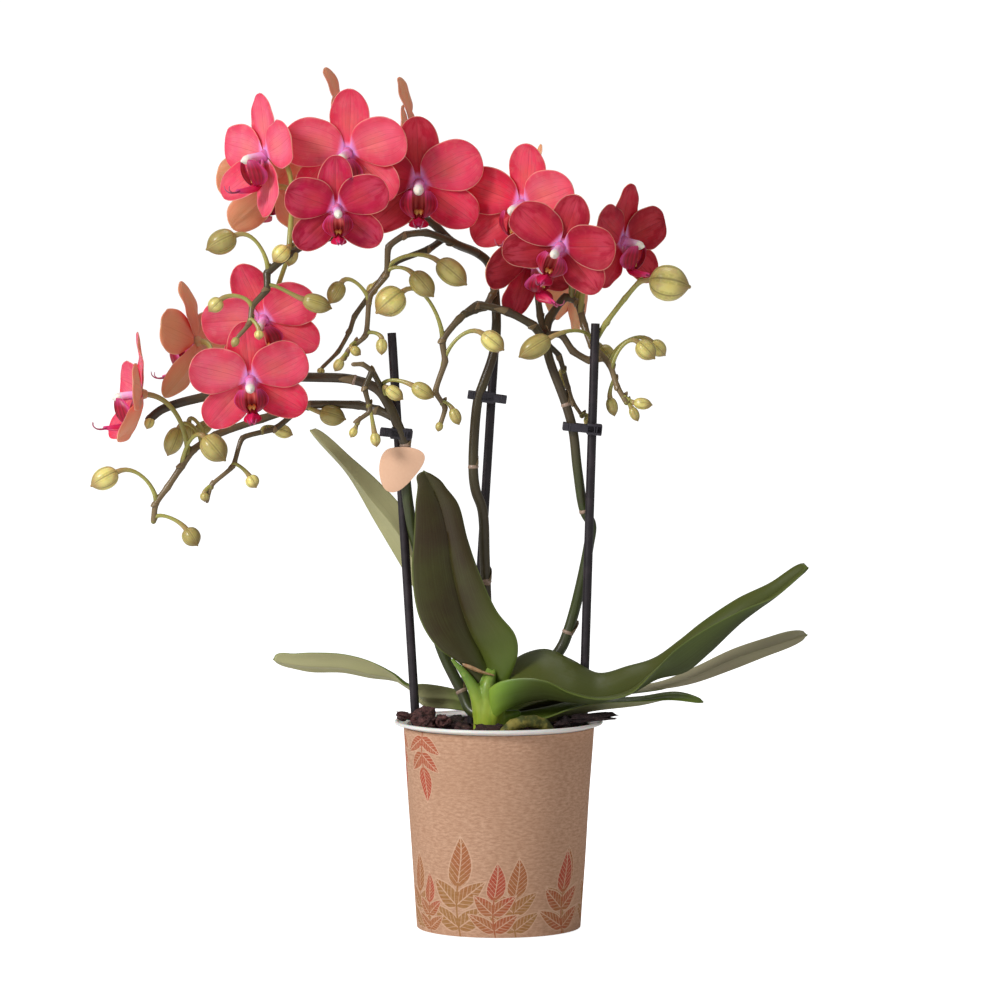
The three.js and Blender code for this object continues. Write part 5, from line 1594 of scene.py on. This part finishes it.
lip = Painted("along", "across", "back")
column_line = smooth([[0, -0.4, 0.8], [0, -0.4, 3.4], [0, -0.7, 6], [0, -1.1, 7.8]], 6)
tube(lip, column_line, [1.95 - 0.3 * math.sin(math.pi * share) for share in shares(18)], 20)
lip.colour(lambda u, v, p: between(linear(248, 160, 240), linear(255, 220, 246), (p.z - 2) / 6))
tube(lip, straight((0, -1.0, 6.9), (0, -1.6, 10.9), 8), [1.3, 1.6, 1.8, 1.85, 1.85, 1.75, 1.55, 1.2, 0.7], 24)
lip.colour(lambda u, v, p: between(linear(255, 250, 236), linear(242, 206, 220), (0.25 - u) * 3))
throat_line = smooth([[0, -1.6, 2.0], [0, -4.8, 3.0], [0, -8.4, 4.2], [0, -12, 5.4]], 6)
throat = []
for p, share in zip(throat_line, shares(len(throat_line) - 1)):
    half = 1.5 + 1.7 * math.sin(math.pi * share) ** 0.8
    throat.append([p + Vector((half * v, 0, 0.9 * v * v)) for v in acrosses(11)])
skin(lip, throat, lambda u, v: 0.8)
lip.colour(lambda u, v, p: between(
    between(linear(240, 140, 214), linear(240, 120, 112), u * 3),
    linear(176, 6, 14),
    (u - 0.1) * 2.4 * THROAT_STRIPES[round(abs(v) * 5)],
))


def ear_place(side, u, v):
    """A point of a side lobe."""
    reach = 1.5 + 3.7 * math.sin(math.pi * (0.1 + 0.72 * u))
    half = 3.5 * math.sin(math.pi * (0.1 + 0.83 * u)) ** 0.6
    middle = Vector((side * reach, -11.2 + 9.6 * u - 0.6 * math.sin(math.pi * u), 5.4 + 3.4 * u))
    inward = half * (0.6 * v + 0.18 * v * v)
    return middle + Vector((-side * inward, 0.25 * half * v * (u - 0.5), 0.8 * half * v))


for side in (-1, 1):
    skin(lip, sheet(lambda u, v: ear_place(side, u, v), 19, 13), lambda u, v: 0.75 - 0.25 * abs(v))
    lip.colour(lambda u, v, p: between(
        between(linear(190, 14, 58), linear(126, 2, 26), 0.5 + 0.5 * math.sin(14 * v + 3 * u)),
        linear(234, 96, 170),
        max((-0.3 - v) * 1.3, (0.32 - u) * 1.5 * (0.5 + 0.5 * math.sin(16 * v)), (u - 0.7) * 1.6),
    ))
    tube(lip, straight((side * 0.8, -8.6, 5.4), (side * 0.8, -9.9, 6.8), 4), [0.5, 0.9, 1.0, 0.85, 0.4], 12)
    lip.colour(lambda u, v, p: between(linear(230, 96, 40), linear(250, 196, 110), u))
    curl = [[side * 0.4, -13.2, 13.6], [side * 0.6, -13.6, 15.8], [side * 0.9, -13.3, 17.6]]
    curl += [[side * 1.4, -12.2, 18.8], [side * 1.8, -10.9, 18.9]]
    curl_line = smooth(curl, 6)
    tube(lip, curl_line, [0.42 - 0.28 * share for share in shares(len(curl_line) - 1)], 8)
    lip.colour(lambda u, v, p: between(linear(150, 22, 72), linear(178, 96, 124), u * 1.6))
# Half the pointed lobe's width from its foot to its tip
LOBE_PROFILE = [1.7, 2.1, 2.7, 3.2, 3.4, 3.3, 2.9, 2.3, 1.7, 1.2, 0.9, 0.65, 0.45]


def lobe_place(u, v):
    """A point of the pointed lobe."""
    half = LOBE_PROFILE[round(u * (len(LOBE_PROFILE) - 1))]
    middle = Vector((0, -11.8 - 1.6 * math.sin(math.pi / 2 * u), 5.2 + 9.6 * u))
    ridge = 0.7 * math.exp(-((v / 0.22) ** 2)) - 1.1 * v * v * math.sin(math.pi * u)
    return middle + Vector((half * v, ridge, -1.3 * v * v * (1 - u)))


skin(lip, sheet(lobe_place, len(LOBE_PROFILE), 13), lambda u, v: 0.9 - 0.3 * abs(v))
lip.colour(lambda u, v, p: between(
    between(linear(232, 36, 100), linear(190, 10, 56), abs(v) * 0.8 + 0.3 * math.sin(9 * v) ** 2),
    linear(236, 96, 172),
    (u - 0.6) * 1.4,
))

waxy = Finish("lip_wax")
lip_speckle = waxy.noise(420, 3.0, 0.6).ramp(0.55, 0.78, 0.0, 0.2)
lip_wax = waxy.settle(
    lip_speckle.mix(waxy.value("tint", "Color"), linear(150, 20, 70)),
    0.38,
    Subsurface_Weight=0.15,
    Subsurface_Scale=0.0015,
    Specular_IOR_Level=0.35,
)

lip_model = lip.piece("lip_model", lip_wax)
for name, (place, size, turn, tilt, roll, *rest) in BLOOMS.items():
    made = set_out(name + "_column", lip_model.data.copy())
    pose = stand([c * MM for c in place], turn, tilt, roll)
    made.data.transform(pose @ Matrix.Scale(LIP_SCALE * size, 4))
    take_part(made, "lip_crimson", name + "_lip")
bpy.data.objects.remove(lip_model)
